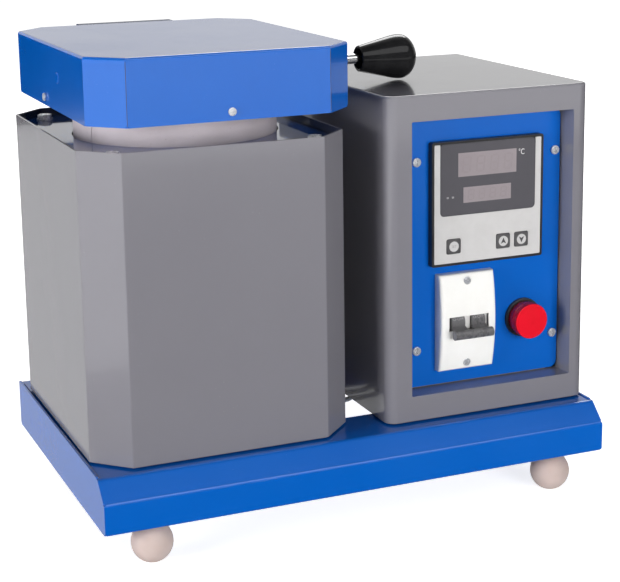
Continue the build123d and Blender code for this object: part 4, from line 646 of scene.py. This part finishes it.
lampCap = {
    # rise above the panel and radius: from the face's middle out, down the side, and up inside to the
    # middle again; one band of faces goes from each point to the next
    "face": ((15.95, 0.0), (15.9, 4.0), (15.75, 8.0), (15.5, 11.3), (15.45, 11.9), (15.62, 12.3),
             (15.55, 13.1)),
    "side": ((15.3, 13.7), (14.7, 14.0), (14.0, 14.0), (13.6, 13.6), (13.2, 13.6), (12.7, 14.0),
             (10.9, 13.9), (10.5, 13.5), (10.0, 13.5), (9.6, 13.9), (4.4, 13.9), (3.0, 13.5)),
    "inside": ((3.0, 12.2), (13.4, 12.2), (13.4, 0.0)),
}
capRound = {"around": 96, "smooth": 32}


def makeLampCap():
    low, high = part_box("lamp_lens")
    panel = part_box("front_panel")[0].y
    origin = np.array(((low.x + high.x) / 2, panel, (low.z + high.z) / 2))
    profile = np.array([point for stretch in lampCap.values() for point in stretch])
    arrays = latheArrays(profile, capRound["around"])
    bright = finishes["red_lens"]
    cap = makePiece("lampCap", arrays, origin, bright, "furnace", capRound["smooth"])
    cap.data.materials.append(finishes["lens_side"])
    # the bright red is on the face's bands alone, which come first in the mesh; the other bands take the darker
    # red, partly the lens's own tone and partly painted shade
    pastFace = np.arange(len(arrays[1])) >= len(lampCap["face"]) * capRound["around"]
    cap.data.polygons.foreach_set("material_index", pastFace.astype(int))
    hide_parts("lamp_lens")


# breaker toggle lettering, wrapped round the two drums

drumSize = {"radius": 7.6, "spacing": 17.4}
toggleWords = {"words": "O-OFF", "size": 3.3, "angle": 27.0, "lift": 0.04}


def makeToggleWords():
    # a letter's height becomes an angle about the toggle's axle
    axis = [joint for joint in frame["joints"] if joint["name"] == "toggle_throw"][0]["pos_m"]
    drumRadius = drumSize["radius"] + toggleWords["lift"]
    for name, side in (("toggleWordLeft", -1), ("toggleWordRight", 1)):
        points, faces = letteringArrays(toggleWords["words"], toggleWords["size"], inkThick)
        angle = math.radians(toggleWords["angle"]) + points[:, 2] / drumRadius
        reach = drumRadius - points[:, 1]
        across = points[:, 0] + side * drumSize["spacing"] / 2
        wrapped = np.stack([across, -reach * np.cos(angle), reach * np.sin(angle)], axis=1)
        makePiece(name, (wrapped, faces), np.array(axis), finishes["greyInk"], "toggle")


# thin dark seams where the lid's flaps meet

seam = {"width": 0.45, "sunk": 0.1, "proud": 0.03, "corner": 23.0, "short": 1.2, "top": 2.4, "round": 0.2}


def makeSeams():
    low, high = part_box("lid_shell")
    length = (high.z - low.z) / mm - seam["top"] - seam["short"]
    middle = low.z / mm + seam["short"] + length / 2
    fromEdge = seam["corner"] + seam["width"] / 2
    thick = seam["sunk"] + seam["proud"]
    strips = []
    for x in (low.x / mm + fromEdge, high.x / mm - fromEdge):
        place = (x, low.y / mm + seam["sunk"], middle)
        strips.append(plateArrays(place, seam["width"], length, seam["round"], thick))
    makePiece("lidSeams", joinArrays(strips), np.zeros(3), finishes["darkInk"], "lid")


makeDisplays()
makeKeyLegends()
makeLampCap()
makeToggleWords()
makeSeams()
print("small pieces made")


# studio: floor, surroundings, lamps and camera

studio = {
    "ambient": 0.09,
    "mirrorFront": 0.1,
    "mirrorBack": 0.8,
    "mirrorFade": (0.1, 0.5),
    "floorColour": (0.86, 0.86, 0.86),
    "floorLift": (0.78, 1.0),
    "floorFade": (0.5, 1.3),
    "floorSize": 16.0,
}


def byRay(tree, plain, mirror, seen):
    # plain is for light that spreads, mirror for reflections, seen for the camera and through glass
    rays = addNode(tree, "ShaderNodeLightPath").outputs
    clear = calculate(tree, "MAXIMUM", rays["Is Camera Ray"], rays["Is Transmission Ray"])
    return mixValue(tree, clear, mixValue(tree, rays["Is Glossy Ray"], plain, mirror), seen)


def makeSurroundings():
    world = bpy.data.worlds.new("surroundings")
    bpy.context.scene.world = world
    world.use_nodes = True
    tree = world.node_tree
    # mirrors see a bright wall behind the furnace and a dim room in front of it
    way = addNode(tree, "ShaderNodeTexCoord").outputs["Generated"]
    backwards = addNode(tree, "ShaderNodeSeparateXYZ", {"Vector": way}).outputs[1]
    mirrored = ramp(tree, backwards, *studio["mirrorFade"], studio["mirrorFront"], studio["mirrorBack"])
    background = tree.nodes["Background"].inputs
    background["Color"].default_value = (1.0, 1.0, 1.0, 1.0)
    tree.links.new(byRay(tree, studio["ambient"], mirrored, 1.0), background["Strength"])


def makeSheet(name, low, high, lift):
    # a level rectangle between two corners
    mesh = bpy.data.meshes.new(name)
    corners = [(low[0], low[1]), (high[0], low[1]), (high[0], high[1]), (low[0], high[1])]
    mesh.from_pydata([(x, y, lift) for x, y in corners], [], [(0, 1, 2, 3)])
    sheet = bpy.data.objects.new(name, mesh)
    bpy.context.scene.collection.objects.link(sheet)
    return sheet


def makeFloor():
    half = studio["floorSize"] / 2
    floor = makeSheet("floor", (-half, -half), (half, half), 0.0)
    material, tree, shader = startMaterial("floorPaper", {})
    feed(tree, shader.inputs["Base Color"], studio["floorColour"])
    shader.inputs["Roughness"].default_value = 1.0
    shader.inputs["Specular IOR Level"].default_value = 0.0
    # the ground fades to plain white away from the object, and keeps its shadow near it
    reach = addNode(tree, "ShaderNodeVectorMath", {0: objectPlace(tree)}, operation="LENGTH").outputs
    seen = ramp(tree, reach["Value"], *studio["floorFade"], *studio["floorLift"])
    lift = addNode(tree, "ShaderNodeEmission", {"Strength": byRay(tree, 0.0, 0.0, seen)})
    both = addNode(tree, "ShaderNodeAddShader", {0: shader.outputs[0], 1: lift.outputs[0]})
    tree.links.new(both.outputs[0], tree.nodes["Material Output"].inputs["Surface"])
    floor.data.materials.append(material)


groundLift = 2.0 * mm
mirrorSheets = {
    # brightness, low corner and high corner in x and y, and height; only the soft box is overhead
    "behind": (0.62, (-3.0, -0.15), (0.3, 1.85), groundLift),
    "farLeft": (1.2, (-6.0, -6.0), (-0.6, -0.15), groundLift),
    "room": (0.0, (-6.0, 1.85), (6.0, 8.0), groundLift),
    "right": (0.0, (0.3, -0.15), (6.0, 1.85), groundLift),
    "nearFront": (0.0, (-0.6, -1.6), (6.0, -0.15), groundLift),
    "farFront": (1.2, (-0.6, -6.0), (6.0, -1.6), groundLift),
    "softBox": (2.6, (-1.5, -2.2), (1.2, -0.7), 1.4),
}


def makeMirrorGround():
    # flat sheets that only reflections see: ground that is bright in some places and dark in others
    for name, (bright, low, high, lift) in mirrorSheets.items():
        sheet = makeSheet(name + "Ground", low, high, lift)
        material, tree, shader = startMaterial(name + "Glow", {})
        shader.inputs["Base Color"].default_value = (0.0, 0.0, 0.0, 1.0)
        shader.inputs["Specular IOR Level"].default_value = 0.0
        shader.inputs["Emission Color"].default_value = (1.0, 1.0, 1.0, 1.0)
        shader.inputs["Emission Strength"].default_value = bright
        sheet.data.materials.append(material)
        for kind in ("camera", "diffuse", "transmission", "shadow", "volume_scatter"):
            setattr(sheet, "visible_" + kind, False)


lampAim = (0.0, 0.0, 0.2)
lampSettings = {
    "leftLamp": dict(place=(-2.32, -0.62, 0.55), width=1.2, height=0.9, power=48.0, mirrored=False),
    "frontLamp": dict(place=(0.45, -2.56, 0.55), width=1.4, height=0.9, power=51.0, mirrored=False),
    "backLamp": dict(place=(1.0, 1.6, 1.8), width=1.2, height=1.0, power=24.0, mirrored=True),
}


def makeLamps():
    for name, lamp in lampSettings.items():
        light = bpy.data.lights.new(name, "AREA")
        light.shape = "RECTANGLE"
        light.size, light.size_y = lamp["width"], lamp["height"]
        light.energy = lamp["power"]
        holder = bpy.data.objects.new(name, light)
        bpy.context.scene.collection.objects.link(holder)
        holder.visible_glossy = lamp["mirrored"]
        place = Vector(lamp["place"])
        turn = (Vector(lampAim) - place).to_track_quat("-Z", "Y").to_matrix().to_4x4()
        holder.matrix_world = Matrix.Translation(place) @ turn


cameraSettings = {
    "place": (-0.4686, -1.1710, 0.4858),
    "azimuth": 22.88,
    "elevation": 12.33,
    "roll": -0.77,
    "lens": 94.04,
    "shift": (-0.016, -0.1234),
}


def makeCamera():
    azimuth, elevation, roll = (math.radians(cameraSettings[k]) for k in ("azimuth", "elevation", "roll"))
    level = math.cos(elevation)
    ahead = Vector((math.sin(azimuth) * level, math.cos(azimuth) * level, -math.sin(elevation)))
    right = ahead.cross(Vector((0, 0, 1))).normalized()
    down = ahead.cross(right)
    turnedRight = right * math.cos(roll) - down * math.sin(roll)
    turnedDown = right * math.sin(roll) + down * math.cos(roll)
    camera = bpy.data.objects.new("camera", bpy.data.cameras.new("camera"))
    bpy.context.scene.collection.objects.link(camera)
    camera.data.lens = cameraSettings["lens"]
    camera.data.shift_x, camera.data.shift_y = cameraSettings["shift"]
    turn = Matrix((turnedRight, -turnedDown, -ahead)).transposed().to_4x4()
    camera.matrix_world = Matrix.Translation(cameraSettings["place"]) @ turn
    bpy.context.scene.camera = camera


makeSurroundings()
makeFloor()
makeMirrorGround()
makeLamps()
makeCamera()
bpy.context.scene.view_settings.view_transform = "Standard"
print("studio ready")
